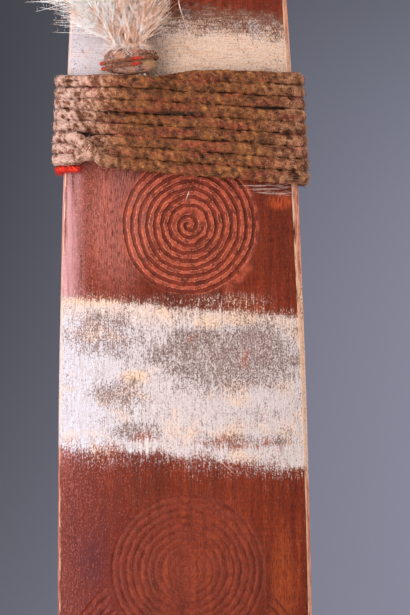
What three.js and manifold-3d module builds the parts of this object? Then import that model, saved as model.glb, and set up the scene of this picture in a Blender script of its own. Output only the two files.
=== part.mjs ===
// A churinga: a long carved and ochred board, bound with one hair-string cord that holds a tuft of feathers.
// Millimetres. X runs across the board, Y runs from its carved front to its back, and Z runs up along it.
// The origin is the middle of the flat back face, where a wall bracket or a display stand bears.

import * as THREE from "three";
import { mergeVertices } from "three/addons/utils/BufferGeometryUtils.js";
import Module from "manifold-3d";

const wasm = await Module();
wasm.setup();

// Board
const BOARD_LENGTH = 1040;
const BOARD_WIDTH = 99;
const BOARD_THICKNESS = 12;
const TIP_THICKNESS = 7;
const FRONT_CROWN = 0.8;
const EDGE_BEVEL = 2;
const OUTLINE_POWER = 2.3; // 2 would be a plain ellipse; more is blunter
const FLAT_BACK_TO_BINDING = 12;

// Hair-string binding
const CORD_DIAMETER = 3.8;
const CORD_CLEARANCE = 0.45;
const LEFT_TURN_GAP = 0.5;
const RIGHT_TURN_GAP = 0.94;
const CROSSING_GAP = 0.6;
const TIP_TO_BINDING = 232;
const LEFT_PASSES = 7; // how often the cord goes round the left edge before its crossing turn
const CROSSED_TURNS = 2; // how many of them the crossing turn passes over
const LEVEL_FROM_LEFT = 12.5; // how far from the left edge the turns on the back run level
const CLOSED_UP_FROM_LEFT = 23; // how far from it the crossed turns have closed up again on the front
const CORD_START_X = 14;
const CORD_END_X = 20;

// Red wool strand under the crossing turn
const STRAND_DIAMETER = 2.8;
const STRAND_ON_FRONT = 9.5; // its lengths on the two faces, from the board's left edge
const STRAND_ON_BACK = 23.5;
const STRAND_GAP = 0.9; // below the lowest turn at the left edge

// Bundle of quills
const BUNDLE_FROM_LEFT = 30.5; // from the board's left edge at its widest
const QUILL_DIAMETER = 1.6;
const QUILL_GAP = 0.5;
const QUILL_COUNT = 12; // in two rows
const BUNDLE_TURNS = 3; // how many turns of the cord hold the bundle down
const BUNDLE_RAMP_LENGTH = 10; // how far to each side a turn takes to climb over the bundle
const PIECE_GAP = 0.35;

// Gum wad round the quills, and the red wool tied round it
const WAD_WIDTH = 20;
const WAD_DEPTH = 9.6;
const WAD_HEIGHT = 10.5;
const WAD_SKIN = 0.9; // gum behind the quills, measured from the quills themselves
const WAD_FLAT = 0.8; // how much of its depth the flat back takes off
const TIE_DIAMETER = 1.5;
const TIE_TURNS = 2;
const TIE_TURN_GAP = 0.5;
const TIE_TILT = 9; // degrees: the tie's left side is lower than its right

// Feathers
const FEATHER_LENGTH = 80;
const LENGTH_SPREAD = 12; // between a middling feather and the longest or shortest
const SIDE_SHORTENING = 18; // how much shorter the leftmost feather is
const VANE_WIDTH = 15;
const VANE_THICKNESS = 0.5;
const VANE_START = 13; // above the gum wad
const FAN_LEFT = 44; // degrees from upright to the leftmost feather
const FAN_RIGHT = 17;
const FAN_AT_ROOT = 0.55; // share of its direction that a feather has where it leaves the wad
const FAN_OPENING = 8; // how far from the wad it has nearly its whole direction
const TIP_CURL = 0.25; // how much its tip turns further, as a share of its direction
const NEAREST_TILT = 7; // degrees off the board
const TILT_STEP = 6.5;
const BARE_SHAFT_DIAMETER = 0.8;

const tipZ = BOARD_LENGTH / 2;
const degrees = THREE.MathUtils.degToRad;
const { lerp, clamp } = THREE.MathUtils;

// Levels of the binding
const cordRadius = CORD_DIAMETER / 2;
const bindingTopZ = tipZ - TIP_TO_BINDING;
const leftPitch = CORD_DIAMETER + LEFT_TURN_GAP;
const rightPitch = CORD_DIAMETER + RIGHT_TURN_GAP;
const leftZ = (level) => bindingTopZ - cordRadius - leftPitch * level;
const rightZ = (level) => bindingTopZ - cordRadius - rightPitch * level;
const crossingLevel = LEFT_PASSES - CROSSED_TURNS; // the crossing turn lies above the turns it passes over
const leftLevel = (pass) => (pass < crossingLevel ? pass : pass + 1);
const bindingBottomZ = rightZ(LEFT_PASSES + 1) - cordRadius;
const flatHalfLength = bindingBottomZ - FLAT_BACK_TO_BINDING;

// Half the board's width at a height.
function halfWidth(z) {
  const along = Math.min(Math.abs(z) / tipZ, 1);
  return (BOARD_WIDTH / 2) * (1 - along ** OUTLINE_POWER) ** (1 / OUTLINE_POWER);
}

// How much each face has drawn in at a height, because the board thins towards its tips.
function faceDraw(z) {
  const past = Math.max(Math.abs(z) - flatHalfLength, 0) / (tipZ - flatHalfLength);
  return ((BOARD_THICKNESS - TIP_THICKNESS) / 2) * past ** 2;
}

const backY = (z) => -faceDraw(z);
const frontEdgeY = (z) => faceDraw(z) - BOARD_THICKNESS;

// The crowned front face.
function frontY(x, z) {
  const across = Math.min(Math.abs(x) / halfWidth(z), 1);
  return frontEdgeY(z) - FRONT_CROWN * (1 - across ** 2);
}

// Closed mesh through rings of equal count, each ring counter-clockwise seen from the end it runs to.
function skin(rings) {
  const count = rings[0].length;
  const index = [];
  for (let ring = 0; ring + 1 < rings.length; ring++) {
    for (let i = 0; i < count; i++) {
      const next = (i + 1) % count;
      const [a, b] = [ring * count + i, ring * count + next];
      index.push(a, b, a + count, b, b + count, a + count);
    }
  }
  const last = (rings.length - 1) * count;
  for (let i = 1; i + 1 < count; i++) {
    index.push(0, i + 1, i);
    index.push(last, last + i, last + i + 1);
  }
  const geometry = new THREE.BufferGeometry().setFromPoints(rings.flat());
  geometry.setIndex(index);
  geometry.computeVertexNormals();
  return geometry;
}

// Rings of a section carried along a path, turned as little as possible. sectionAt gives [side, up] pairs.
function ringsAlong(path, sideHint, sectionAt) {
  const side = sideHint.clone();
  return path.map((point, i) => {
    const before = path[Math.max(i - 1, 0)];
    const after = path[Math.min(i + 1, path.length - 1)];
    const ahead = after.clone().sub(before).normalize();
    side.addScaledVector(ahead, -side.dot(ahead)).normalize();
    const up = ahead.clone().cross(side);
    return sectionAt(i).map(([a, b]) =>
      point.clone().addScaledVector(side, a).addScaledVector(up, b),
    );
  });
}

const acrossBoard = new THREE.Vector3(1, 0, 0);
const alongBoard = new THREE.Vector3(0, 0, 1);

function tube(path, radius, sides, sideHint) {
  const section = Array.from({ length: sides }, (_, i) => {
    const angle = (2 * Math.PI * (i + 0.5)) / sides;
    return [radius * Math.cos(angle), radius * Math.sin(angle)];
  });
  return skin(ringsAlong(path, sideHint, () => section));
}

// Geometry to a solid for cutting, and back.
function toSolid(geometry) {
  const bare = geometry.clone();
  bare.deleteAttribute("normal");
  bare.deleteAttribute("uv");
  const merged = mergeVertices(bare, 1e-4);
  return new wasm.Manifold(
    new wasm.Mesh({
      numProp: 3,
      vertProperties: new Float32Array(merged.attributes.position.array),
      triVerts: new Uint32Array(merged.index.array),
    }),
  );
}

function toGeometry(solid) {
  const mesh = solid.getMesh();
  const geometry = new THREE.BufferGeometry();
  geometry.setAttribute("position", new THREE.BufferAttribute(mesh.vertProperties, 3));
  geometry.setIndex(new THREE.BufferAttribute(mesh.triVerts, 1));
  geometry.computeVertexNormals();
  return geometry;
}

const group = new THREE.Group();

function addPiece(name, geometry, color, roughness) {
  const material = new THREE.MeshStandardMaterial({ color, roughness, metalness: 0 });
  const mesh = new THREE.Mesh(geometry, material);
  mesh.name = name;
  group.add(mesh);
}

// The board: a long rounded outline, flat behind, lightly crowned in front, bevelled all round
function boardHeights() {
  const steps = 20;
  const heights = [flatHalfLength];
  for (let i = 1; i <= steps; i++) {
    const angle = (Math.PI / 2) * (i / (steps + 0.12)); // stops just short of the tip
    heights.push(tipZ * Math.sin(angle) ** (2 / OUTLINE_POWER));
  }
  heights.sort((a, b) => a - b);
  const clear = 0.01 * tipZ; // keeps other heights from crowding the one where the flat back ends
  const spaced = heights.filter((z) => z === flatHalfLength || Math.abs(z - flatHalfLength) > clear);
  return [...spaced.map((z) => -z).reverse(), 0, ...spaced];
}

function boardRing(z) {
  const half = halfWidth(z);
  const [front, back] = [frontEdgeY(z), backY(z)];
  const bevel = Math.min(EDGE_BEVEL, 0.4 * half, 0.3 * (back - front));
  const inner = half - bevel;
  const crowned = [-1, -0.5, 0, 0.5, 1].map((share) => {
    const x = share * inner;
    return [x, Math.abs(share) === 1 ? front : frontY(x, z)];
  });
  const outline = [
    ...crowned,
    [half, front + bevel],
    [half, back - bevel],
    [inner, back],
    [-inner, back],
    [-half, back - bevel],
    [-half, front + bevel],
  ];
  return outline.map(([x, y]) => new THREE.Vector3(x, y, z));
}

addPiece("carved_board", skin(boardHeights().map(boardRing)), 0x8a3a22, 0.55);

// Levels of the bundle. The quills start pressed to the board and lean out of it as they rise to the wad.
const quillRadius = QUILL_DIAMETER / 2;
const quillPitch = QUILL_DIAMETER + QUILL_GAP;
const quillsInRow = QUILL_COUNT / 2;
const bundleX = BUNDLE_FROM_LEFT - BOARD_WIDTH / 2;
const bundleHalfWidth = (quillPitch * quillsInRow) / 2 + quillRadius;
const bundleDepth = PIECE_GAP + 2 * QUILL_DIAMETER + QUILL_GAP;
const wadStandOff = TIE_DIAMETER + CORD_CLEARANCE + PIECE_GAP;
const leanOut = wadStandOff + WAD_SKIN - PIECE_GAP;

const leftFaceX = EDGE_BEVEL - BOARD_WIDTH / 2; // where the flat of the faces begins at the board's widest
const crossZ = leftZ(crossingLevel);
const crossFaceX = EDGE_BEVEL - halfWidth(crossZ); // where it begins beside the crossing turn

// Height of the cord on a face, on its way from one edge to the other. On the front the crossed turns start
// lower and close up again beside the crossing turn.
const acrossShare = (x, fromX) => clamp((x - fromX) / (-crossFaceX - fromX), 0, 1);

function frontRunZ(pass, x) {
  const evenZ = lerp(leftZ(pass), rightZ(pass + 1), acrossShare(x, crossFaceX));
  const crossed = pass >= crossingLevel && pass < LEFT_PASSES;
  const [openX, closedX] = [crossFaceX + cordRadius, CLOSED_UP_FROM_LEFT - BOARD_WIDTH / 2];
  const open = clamp((closedX - x) / (closedX - openX), 0, 1);
  return crossed ? evenZ - leftPitch * open : evenZ;
}

function backRunZ(pass, x) {
  const levelX = LEVEL_FROM_LEFT - BOARD_WIDTH / 2;
  return lerp(leftZ(leftLevel(pass)), rightZ(pass), acrossShare(x, levelX));
}

const footZ = frontRunZ(BUNDLE_TURNS, bundleX - bundleHalfWidth) + cordRadius + PIECE_GAP;
const wadBottomZ = frontRunZ(0, bundleX - WAD_WIDTH / 2) + cordRadius + PIECE_GAP;
const wadTopZ = wadBottomZ + WAD_HEIGHT;
const wadMidZ = wadBottomZ + WAD_HEIGHT / 2;
const bundleBoardY = frontY(bundleX + WAD_WIDTH / 2, footZ);
const leanAt = (z) => leanOut * clamp((z - footZ) / (wadBottomZ - footZ), 0, 1);

// The cord's way round the board: places on a rounded corner or on a face, each with a lift off the wood
const CORNER_ANGLES = [0, 30, 60, 90];

// face is -1 for the front and 1 for the back, and side is -1 for the left edge and 1 for the right one.
function cornerPoint(face, side, angle, z, lift) {
  const centreX = side * (halfWidth(z) - EDGE_BEVEL);
  const centreY = face < 0 ? frontEdgeY(z) + EDGE_BEVEL : backY(z) - EDGE_BEVEL;
  const radius = EDGE_BEVEL + lift;
  const turn = degrees(angle);
  return new THREE.Vector3(
    centreX + side * radius * Math.cos(turn),
    centreY + face * radius * Math.sin(turn),
    z,
  );
}

function intoCorner(face, side, z, lift) {
  return [...CORNER_ANGLES].reverse().map((angle) => cornerPoint(face, side, angle, z, lift));
}

function outOfCorner(face, side, z, lift) {
  return CORNER_ANGLES.map((angle) => cornerPoint(face, side, angle, z, lift));
}

function facePoint(face, x, z, lift) {
  return new THREE.Vector3(x, face < 0 ? frontY(x, z) - lift : backY(z) + lift, z);
}

const firstLift = cordRadius + CORD_CLEARANCE;
const secondLift = firstLift + CORD_DIAMETER + CROSSING_GAP;

const leftOfBundle = bundleX - bundleHalfWidth;
const rightOfBundle = bundleX + bundleHalfWidth;
const rampLeft = leftOfBundle - BUNDLE_RAMP_LENGTH;
const rampRight = rightOfBundle + BUNDLE_RAMP_LENGTH;
const rightRun = [1 / 3, 2 / 3].map((share) => lerp(rampRight, BOARD_WIDTH / 2, share));

// A point of the cord on the front, in front of the bundle of quills.
function overBundlePoint(x, z) {
  const y = bundleBoardY - bundleDepth - leanAt(z + cordRadius) - firstLift;
  return new THREE.Vector3(x, y, z);
}

// Front half of a turn, left to right.
function frontHalf(pass) {
  const place = pass < BUNDLE_TURNS ? overBundlePoint : (x, z) => facePoint(-1, x, z, firstLift);
  const byTheEdge = [0.3, 0.65].map((share) => lerp(crossFaceX, rampLeft, share));
  return [
    ...outOfCorner(-1, -1, leftZ(leftLevel(pass)), firstLift),
    ...[...byTheEdge, rampLeft].map((x) => facePoint(-1, x, frontRunZ(pass, x), firstLift)),
    place(leftOfBundle, frontRunZ(pass, leftOfBundle)),
    place(rightOfBundle, frontRunZ(pass, rightOfBundle)),
    ...[rampRight, ...rightRun].map((x) => facePoint(-1, x, frontRunZ(pass, x), firstLift)),
    ...intoCorner(-1, 1, rightZ(pass + 1), firstLift),
  ];
}

// Back half of a turn, right to left.
function backHalf(pass) {
  return [
    ...outOfCorner(1, 1, rightZ(pass), firstLift),
    ...[1 / 6, -1 / 6, LEVEL_FROM_LEFT / BOARD_WIDTH - 0.5].map((share) =>
      facePoint(1, share * BOARD_WIDTH, backRunZ(pass, share * BOARD_WIDTH), firstLift),
    ),
    ...intoCorner(1, -1, leftZ(leftLevel(pass)), firstLift),
  ];
}

// The cord starts on the front at the top right and winds down. Its last turn climbs on the back over the two
// turns above it, comes round the left edge between the others, crosses back over the same two on the front,
// runs along below them and ends on the back.
function bindingPath() {
  const path = [
    ...[CORD_START_X, rightRun[1]].map((x) => facePoint(-1, x, frontRunZ(-1, x), firstLift)),
    ...intoCorner(-1, 1, rightZ(0), firstLift),
  ];
  for (let pass = 0; pass < LEFT_PASSES; pass++) {
    path.push(...backHalf(pass), ...frontHalf(pass));
  }
  const last = LEFT_PASSES;
  const lowZ = rightZ(last);
  const endZ = rightZ(last + 1);
  // Each row is a distance from the left edge's flat in cord diameters, then the share of the way from the
  // height below the other turns to the crossing's height, then how far up it is in the second layer.
  const climb = [
    [16.3, 0, 0],
    [12.3, 0, 0],
    [8.7, 0.03, 0.62],
    [6.65, 0.24, 1],
    [4.8, 0.56, 1],
    [3.2, 0.9, 1],
    [1.9, 1, 0.84],
    [0.35, 1, 0],
  ];
  const descent = [
    [0.35, 0.98, 0.42],
    [0.95, 0.85, 0.95],
    [1.6, 0.62, 1],
    [2.4, 0.3, 1],
    [3.1, 0.06, 1],
    [3.9, 0, 0.8],
    [4.8, 0, 0.3],
    [5.6, 0, 0],
  ];
  const fromLeft = (diameters) => crossFaceX + diameters * CORD_DIAMETER;
  const place = (face, belowZ, [across, rise, layer]) => {
    const x = fromLeft(across);
    const z = lerp(belowZ(x), crossZ, rise);
    return facePoint(face, x, z, lerp(firstLift, secondLift, layer));
  };
  const below = (x) => lerp(leftZ(last + 1), lowZ, acrossShare(x, crossFaceX));
  const landX = fromLeft(descent.at(-1)[0]);
  path.push(
    ...outOfCorner(1, 1, lowZ, firstLift),
    ...climb.map((row) => place(1, below, row)),
    ...intoCorner(1, -1, crossZ, firstLift),
    ...outOfCorner(-1, -1, crossZ, firstLift),
    ...descent.map((row) => place(-1, (x) => frontRunZ(last, x), row)),
    ...[1 / 4, 1 / 2, 3 / 4].map((share) => {
      const x = lerp(landX, BOARD_WIDTH / 2, share);
      return facePoint(-1, x, frontRunZ(last, x), firstLift);
    }),
    ...intoCorner(-1, 1, endZ, firstLift),
    ...outOfCorner(1, 1, endZ, firstLift),
    ...[CORD_END_X + CORD_DIAMETER, CORD_END_X].map((x) => facePoint(1, x, endZ, firstLift)),
  );
  return path;
}

// Least gap between a tube and itself, measured on points half a millimetre apart along its path.
function leastGap(path, diameter) {
  const dense = [];
  let travelled = 0;
  for (let i = 0; i + 1 < path.length; i++) {
    const length = path[i].distanceTo(path[i + 1]);
    const steps = Math.max(Math.ceil(2 * length), 1);
    for (let k = 0; k < steps; k++) {
      dense.push([path[i].clone().lerp(path[i + 1], k / steps), travelled + (length * k) / steps]);
    }
    travelled += length;
  }
  let [least, where] = [Infinity, null];
  dense.forEach(([p, at], i) => {
    for (let k = i + 1; k < dense.length; k++) {
      const [q, further] = dense[k];
      const distance = p.distanceTo(q);
      if (further - at > 4 * diameter && distance < least) [least, where] = [distance, p];
    }
  });
  const place = where.toArray().map((value) => value.toFixed(1));
  return `${(least - diameter).toFixed(2)} mm at ${place.join(", ")}`;
}

const cordPath = bindingPath();
console.log(`hair_string_binding: least gap to itself ${leastGap(cordPath, CORD_DIAMETER)}`);
addPiece("hair_string_binding", tube(cordPath, cordRadius, 6, alongBoard), 0x8a5636, 0.95);

// Red wool strand round the left edge, its ends tucked beside the cord
function strandPath() {
  const lift = STRAND_DIAMETER / 2 + CORD_CLEARANCE;
  const z = leftZ(LEFT_PASSES) - cordRadius - STRAND_GAP - STRAND_DIAMETER / 2;
  return [
    facePoint(1, leftFaceX + STRAND_ON_BACK, z, lift),
    facePoint(1, leftFaceX + STRAND_ON_BACK - STRAND_DIAMETER, z, lift),
    ...intoCorner(1, -1, z, lift),
    ...outOfCorner(-1, -1, z, lift),
    facePoint(-1, leftFaceX + STRAND_ON_FRONT, z, lift),
  ];
}

addPiece("red_wool_strand", tube(strandPath(), STRAND_DIAMETER / 2, 6, alongBoard), 0xc4402f, 0.95);

// Quills stand in two rows, one half a pitch aside. Even numbers are in the row next to the board.
function quillPlace(number) {
  const row = number % 2;
  const column = Math.floor(number / 2);
  return {
    x: bundleX + (column - (quillsInRow - 1) / 2 + (row - 0.5) / 2) * quillPitch,
    y: bundleBoardY - PIECE_GAP - quillRadius - row * quillPitch,
  };
}

function quillFoot(number) {
  const { x, y } = quillPlace(number);
  return [
    new THREE.Vector3(x, y, footZ),
    new THREE.Vector3(x, y - leanOut, wadBottomZ),
    new THREE.Vector3(x, y - leanOut, wadTopZ),
  ];
}

// A quill's path from its foot under the cord, through the wad and out along its direction in the fan.
const FAN_STEPS = 16;

function quillPath(number, fan, tilt, length) {
  const path = quillFoot(number);
  const point = path.at(-1).clone();
  const step = length / FAN_STEPS;
  for (let i = 0; i < FAN_STEPS; i++) {
    const along = (i + 0.5) * step;
    const opening = (1 - FAN_AT_ROOT) * Math.exp(-along / FAN_OPENING);
    const spread = 1 - opening + TIP_CURL * (along / length) ** 2;
    const [turn, lean] = [degrees(fan * spread), degrees(tilt * spread)];
    point.x += step * Math.sin(turn) * Math.cos(lean);
    point.y -= step * Math.sin(lean);
    point.z += step * Math.cos(turn) * Math.cos(lean);
    path.push(point.clone());
  }
  return path;
}

// A feather: a quill that thins to its tip, with a vane that swells and closes again.
function feather(path, length) {
  const rooted = path.length - 1 - FAN_STEPS;
  const sectionAt = (i) => {
    const along = Math.max(i - rooted, 0) / FAN_STEPS;
    const radius = lerp(quillRadius, 0.3, along);
    const open = clamp((along * length - VANE_START) / (length - VANE_START), 0, 1);
    const [flat, corner] = [radius * Math.cos(Math.PI / 8), radius * Math.sin(Math.PI / 8)];
    const wing = Math.max((VANE_WIDTH / 2) * Math.sin(Math.PI * open ** 0.8) ** 1.1, flat);
    const edge = open > 0 ? Math.min(VANE_THICKNESS / 2, corner) : corner;
    return [
      [wing, -edge],
      [wing, edge],
      [corner, flat],
      [-corner, flat],
      [-wing, edge],
      [-wing, -edge],
      [-corner, -flat],
      [corner, -flat],
    ];
  };
  return skin(ringsAlong(path, acrossBoard, sectionAt));
}

// Holes that the quills leave in the wad, with the usual gap round them.
const quillHoles = [];

function addHole(path, radius) {
  const through = path.slice(0, 5); // from the foot to well above the wad
  quillHoles.push(toSolid(tube(through, radius + PIECE_GAP, 8, acrossBoard)));
}

const featherCount = QUILL_COUNT - 1; // the last place in the bundle is for the bare shaft

for (let number = 0; number < featherCount; number++) {
  const share = number / (featherCount - 1);
  const fan = lerp(-FAN_LEFT, FAN_RIGHT, share);
  const layer = 2 * (number % 2) + (Math.floor(number / 2 + 1) % 2);
  const tilt = NEAREST_TILT + TILT_STEP * layer;
  const uneven = Math.sin(2.4 * number + 0.7); // puts long and short feathers side by side
  const length = FEATHER_LENGTH + LENGTH_SPREAD * uneven - SIDE_SHORTENING * (fan / FAN_LEFT) ** 2;
  const path = quillPath(number, fan, tilt, length);
  const name = `feather_${String(number + 1).padStart(2, "0")}`;
  addPiece(name, feather(path, length), 0xe8d3bd, 0.9);
  addHole(path, quillRadius);
}

// The bare shaft stands in the bundle's last place, arches over to the right and hangs close to the board.
// Its route is counted from where it leaves the wad: to the right, off the board and up.
const BARE_SHAFT_ROUTE = [
  [0, 0, 0],
  [2, 2.7, 14],
  [6, 5.2, 27],
  [11, 4.4, 31],
  [14.3, 1, 25],
  [13.3, -1.3, 18],
  [14.8, -2.3, 12],
  [17.6, -2.3, 3.5],
];

function bareShaftPath() {
  const foot = quillFoot(featherCount);
  const { x, y, z } = foot.at(-1);
  const points = BARE_SHAFT_ROUTE.map(([right, out, up]) => new THREE.Vector3(x + right, y - out, z + up));
  return [...foot, ...new THREE.CatmullRomCurve3(points).getPoints(20).slice(1)];
}

const bareShaft = bareShaftPath();
const bareShaftRadius = BARE_SHAFT_DIAMETER / 2;
addPiece("bare_feather_shaft", tube(bareShaft, bareShaftRadius, 6, acrossBoard), 0xd9c3a8, 0.8);
addHole(bareShaft, bareShaftRadius);

// The gum wad: a cushion-shaped lump with a flat back, pierced by the quills
const wadBackY = bundleBoardY - wadStandOff;
const wadMidY = wadBackY + WAD_FLAT - WAD_DEPTH / 2;

// How full the wad is at a height above its middle, as a share of its full width.
const wadFullness = (rise) => (1 - Math.min(Math.abs(rise) / (WAD_HEIGHT / 2), 1) ** 3) ** (1 / 3);

function gumWad() {
  const [levels, around] = [8, 24];
  const rings = [];
  for (let level = 0; level <= levels; level++) {
    const rise = -0.49 * WAD_HEIGHT * Math.cos((Math.PI * level) / levels); // stops short of a point
    const share = wadFullness(rise);
    rings.push(
      Array.from({ length: around }, (_, i) => {
        const angle = (2 * Math.PI * i) / around;
        const x = bundleX + (WAD_WIDTH / 2) * share * Math.cos(angle);
        const y = wadMidY + (WAD_DEPTH / 2) * share * Math.sin(angle);
        return new THREE.Vector3(x, Math.min(y, wadBackY), wadMidZ + rise);
      }),
    );
  }
  return toGeometry(quillHoles.reduce((solid, hole) => solid.subtract(hole), toSolid(skin(rings))));
}

addPiece("gum_wad", gumWad(), 0x84492f, 0.7);

// The red wool tie: slanting turns round the wad
function tiePath() {
  const steps = 24;
  const clearance = TIE_DIAMETER / 2 + CORD_CLEARANCE;
  const pitch = TIE_DIAMETER + TIE_TURN_GAP;
  const slant = Math.tan(degrees(TIE_TILT));
  return Array.from({ length: TIE_TURNS * steps + 1 }, (_, i) => {
    const angle = (2 * Math.PI * i) / steps - Math.PI / 3;
    const rise = pitch * (TIE_TURNS / 2 - i / steps) + slant * (WAD_WIDTH / 2) * Math.cos(angle);
    const share = wadFullness(rise);
    const x = bundleX + ((WAD_WIDTH / 2) * share + clearance) * Math.cos(angle);
    const y = wadMidY + ((WAD_DEPTH / 2) * share + clearance) * Math.sin(angle);
    return new THREE.Vector3(x, Math.min(y, wadBackY + clearance), wadMidZ + rise);
  });
}

const redTie = tiePath();
console.log(`red_wool_tie: least gap to itself ${leastGap(redTie, TIE_DIAMETER)}`);
addPiece("red_wool_tie", tube(redTie, TIE_DIAMETER / 2, 6, alongBoard), 0xc4402f, 0.95);

export default group;
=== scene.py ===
import math
import random

import bmesh
import bpy
from mathutils import Matrix, Vector, noise


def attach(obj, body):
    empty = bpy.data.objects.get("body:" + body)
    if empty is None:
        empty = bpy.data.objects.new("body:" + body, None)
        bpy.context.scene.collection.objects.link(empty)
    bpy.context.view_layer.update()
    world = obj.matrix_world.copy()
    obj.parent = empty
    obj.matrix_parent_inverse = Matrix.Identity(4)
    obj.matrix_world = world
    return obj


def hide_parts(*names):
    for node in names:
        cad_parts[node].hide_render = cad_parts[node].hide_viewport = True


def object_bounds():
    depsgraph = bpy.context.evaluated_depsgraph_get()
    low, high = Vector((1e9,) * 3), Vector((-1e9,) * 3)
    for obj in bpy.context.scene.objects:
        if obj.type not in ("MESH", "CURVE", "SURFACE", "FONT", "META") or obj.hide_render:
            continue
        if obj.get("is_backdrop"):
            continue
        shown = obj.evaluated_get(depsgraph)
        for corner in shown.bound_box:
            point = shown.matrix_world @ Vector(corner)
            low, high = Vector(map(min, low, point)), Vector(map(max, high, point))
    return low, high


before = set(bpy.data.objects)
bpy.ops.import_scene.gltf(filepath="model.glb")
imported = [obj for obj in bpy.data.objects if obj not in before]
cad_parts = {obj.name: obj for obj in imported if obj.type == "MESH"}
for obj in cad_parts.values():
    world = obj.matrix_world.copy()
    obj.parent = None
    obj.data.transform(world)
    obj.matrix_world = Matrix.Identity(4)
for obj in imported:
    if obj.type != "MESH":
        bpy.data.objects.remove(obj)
cad_low, cad_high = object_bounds()
scene = bpy.context.scene
scene.view_settings.view_transform = "Standard"


# Camera
# It stands straight in front of the upper middle of the board, a little to the right of its axis.
# The board leans half a degree to the left in the picture, so the camera is rolled by that much.
PICTURE_HEIGHT = 0.2368  # metres of the board's front that the picture shows
FRONT_FACE = -0.0128
LENS = 135
SENSOR = 36
CAMERA_X = 0.009
CAMERA_Z = 0.1984
ROLL = math.radians(0.57)

camera = bpy.data.objects.new("camera", bpy.data.cameras.new("camera"))
camera.data.lens = LENS
camera.data.sensor_width = SENSOR
camera.data.clip_start = 0.05
camera.location = (CAMERA_X, FRONT_FACE - PICTURE_HEIGHT * LENS / SENSOR, CAMERA_Z)
camera.rotation_euler = (math.pi / 2, ROLL, 0)
scene.collection.objects.link(camera)
scene.camera = camera


# Backdrop
# A grey paper backdrop with painted shade that makes it darker at the upper left. It lights the object
# evenly, as a white room would.
def sRGB(red, green, blue, alpha=1.0):
    """A colour as it is read off a screen, from 0 to 255, as the linear numbers that shaders take."""
    def linear(value):
        share = value / 255
        return share / 12.92 if share <= 0.04045 else ((share + 0.055) / 1.055) ** 2.4

    return (linear(red), linear(green), linear(blue), alpha)


def feed(node, sockets):
    """Gives sockets of a node, by name or number, a link or a plain value."""
    for name, value in sockets.items():
        if isinstance(value, bpy.types.NodeSocket):
            tree.links.new(value, node.inputs[name])
        else:
            node.inputs[name].default_value = value


def put(kind, sockets=None, **settings):
    """A new node in the shader tree that is being written, which is the one that tree stands for by then."""
    node = tree.nodes.new("ShaderNode" + kind)
    for name, value in settings.items():
        setattr(node, name, value)
    feed(node, sockets or {})
    return node


def blend_colour(share, first, second):
    return put("Mix", {0: share, 6: first, 7: second}, data_type="RGBA").outputs[2]


def maths(operation, first, second=0.0, third=0.0):
    return put("Math", {0: first, 1: second, 2: third}, operation=operation).outputs[0]


def xyz_of(place):
    return put("SeparateXYZ", {0: place}).outputs


world = bpy.data.worlds.new("studio")
world.use_nodes = True
scene.world = world
tree = world.node_tree
tree.nodes.clear()
view_way = xyz_of(put("TexCoord").outputs["Generated"])
rightwards = put("MapRange", {0: view_way[0], 1: -0.09, 2: 0.09}).outputs[0]
downwards = put("MapRange", {0: view_way[2], 1: 0.13, 2: -0.13}).outputs[0]
upwards = maths("SUBTRACT", 1.0, downwards)
late = maths("POWER", downwards, 1.6)
early = maths("POWER", upwards, 3.0)
# The paper's colours darken towards the upper left: painted shade.
left_paper = blend_colour(late, sRGB(69, 69, 76), sRGB(104, 104, 116))
right_paper = blend_colour(early, sRGB(137, 137, 155), sRGB(104, 106, 118))
paper = put("Background", {0: blend_colour(rightwards, left_paper, right_paper)})
room = put("Background", {0: sRGB(240, 240, 248), 1: 0.42})
ray = put("LightPath")
seen = ray.outputs["Is Camera Ray"]
for way in ("Is Glossy Ray", "Is Transmission Ray"):
    seen = maths("MAXIMUM", seen, ray.outputs[way])
shown = put("MixShader", {0: seen, 1: room.outputs[0], 2: paper.outputs[0]})
put("OutputWorld", {0: shown.outputs[0]})


# Floor
# A pale floor below the board. It fades out before the picture's lower edge could meet it.
FLOOR_RADIUS = 3.5
FLOOR_HEIGHT = -0.56
FADE_FROM = 1.2
FADE_TO = 3.4


def new_look(piece, name):
    """A new material on a piece, with its node tree and its shader."""
    look = bpy.data.materials.new(name)
    look.use_nodes = True
    piece.data.materials.clear()
    piece.data.materials.append(look)
    return look.node_tree, look.node_tree.nodes["Principled BSDF"]


floor_bm = bmesh.new()
bmesh.ops.create_circle(floor_bm, cap_ends=True, radius=FLOOR_RADIUS, segments=64)
bmesh.ops.translate(floor_bm, verts=floor_bm.verts, vec=(0, 0, FLOOR_HEIGHT))
floor_mesh = bpy.data.meshes.new("floor")
floor_bm.to_mesh(floor_mesh)
floor_bm.free()
floor = bpy.data.objects.new("floor", floor_mesh)
scene.collection.objects.link(floor)
floor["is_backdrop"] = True
tree, shader = new_look(floor, "pale_floor")
out_from_middle = put("VectorMath", {0: put("TexCoord").outputs["Object"]}, operation="LENGTH").outputs[1]
fade = put("MapRange", {0: out_from_middle, 1: FADE_FROM, 2: FADE_TO, 3: 1.0, 4: 0.0}).outputs[0]
feed(shader, {"Base Color": sRGB(196, 196, 200), "Roughness": 0.8, "Alpha": fade})


# Lamps
# A tall soft key lamp close by on the left, a weak warm one on the right, and a wide fill from the front.
def soft_lamp(name, place, aim, size, height, power, colour):
    lamp = bpy.data.lights.new(name, "AREA")
    lamp.shape = "RECTANGLE"
    lamp.size = size
    lamp.size_y = height
    lamp.energy = power
    lamp.color = colour
    holder = bpy.data.objects.new(name, lamp)
    holder.location = place
    holder.rotation_euler = (Vector(aim) - Vector(place)).to_track_quat("-Z", "Y").to_euler()
    holder.visible_camera = False
    scene.collection.objects.link(holder)


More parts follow.
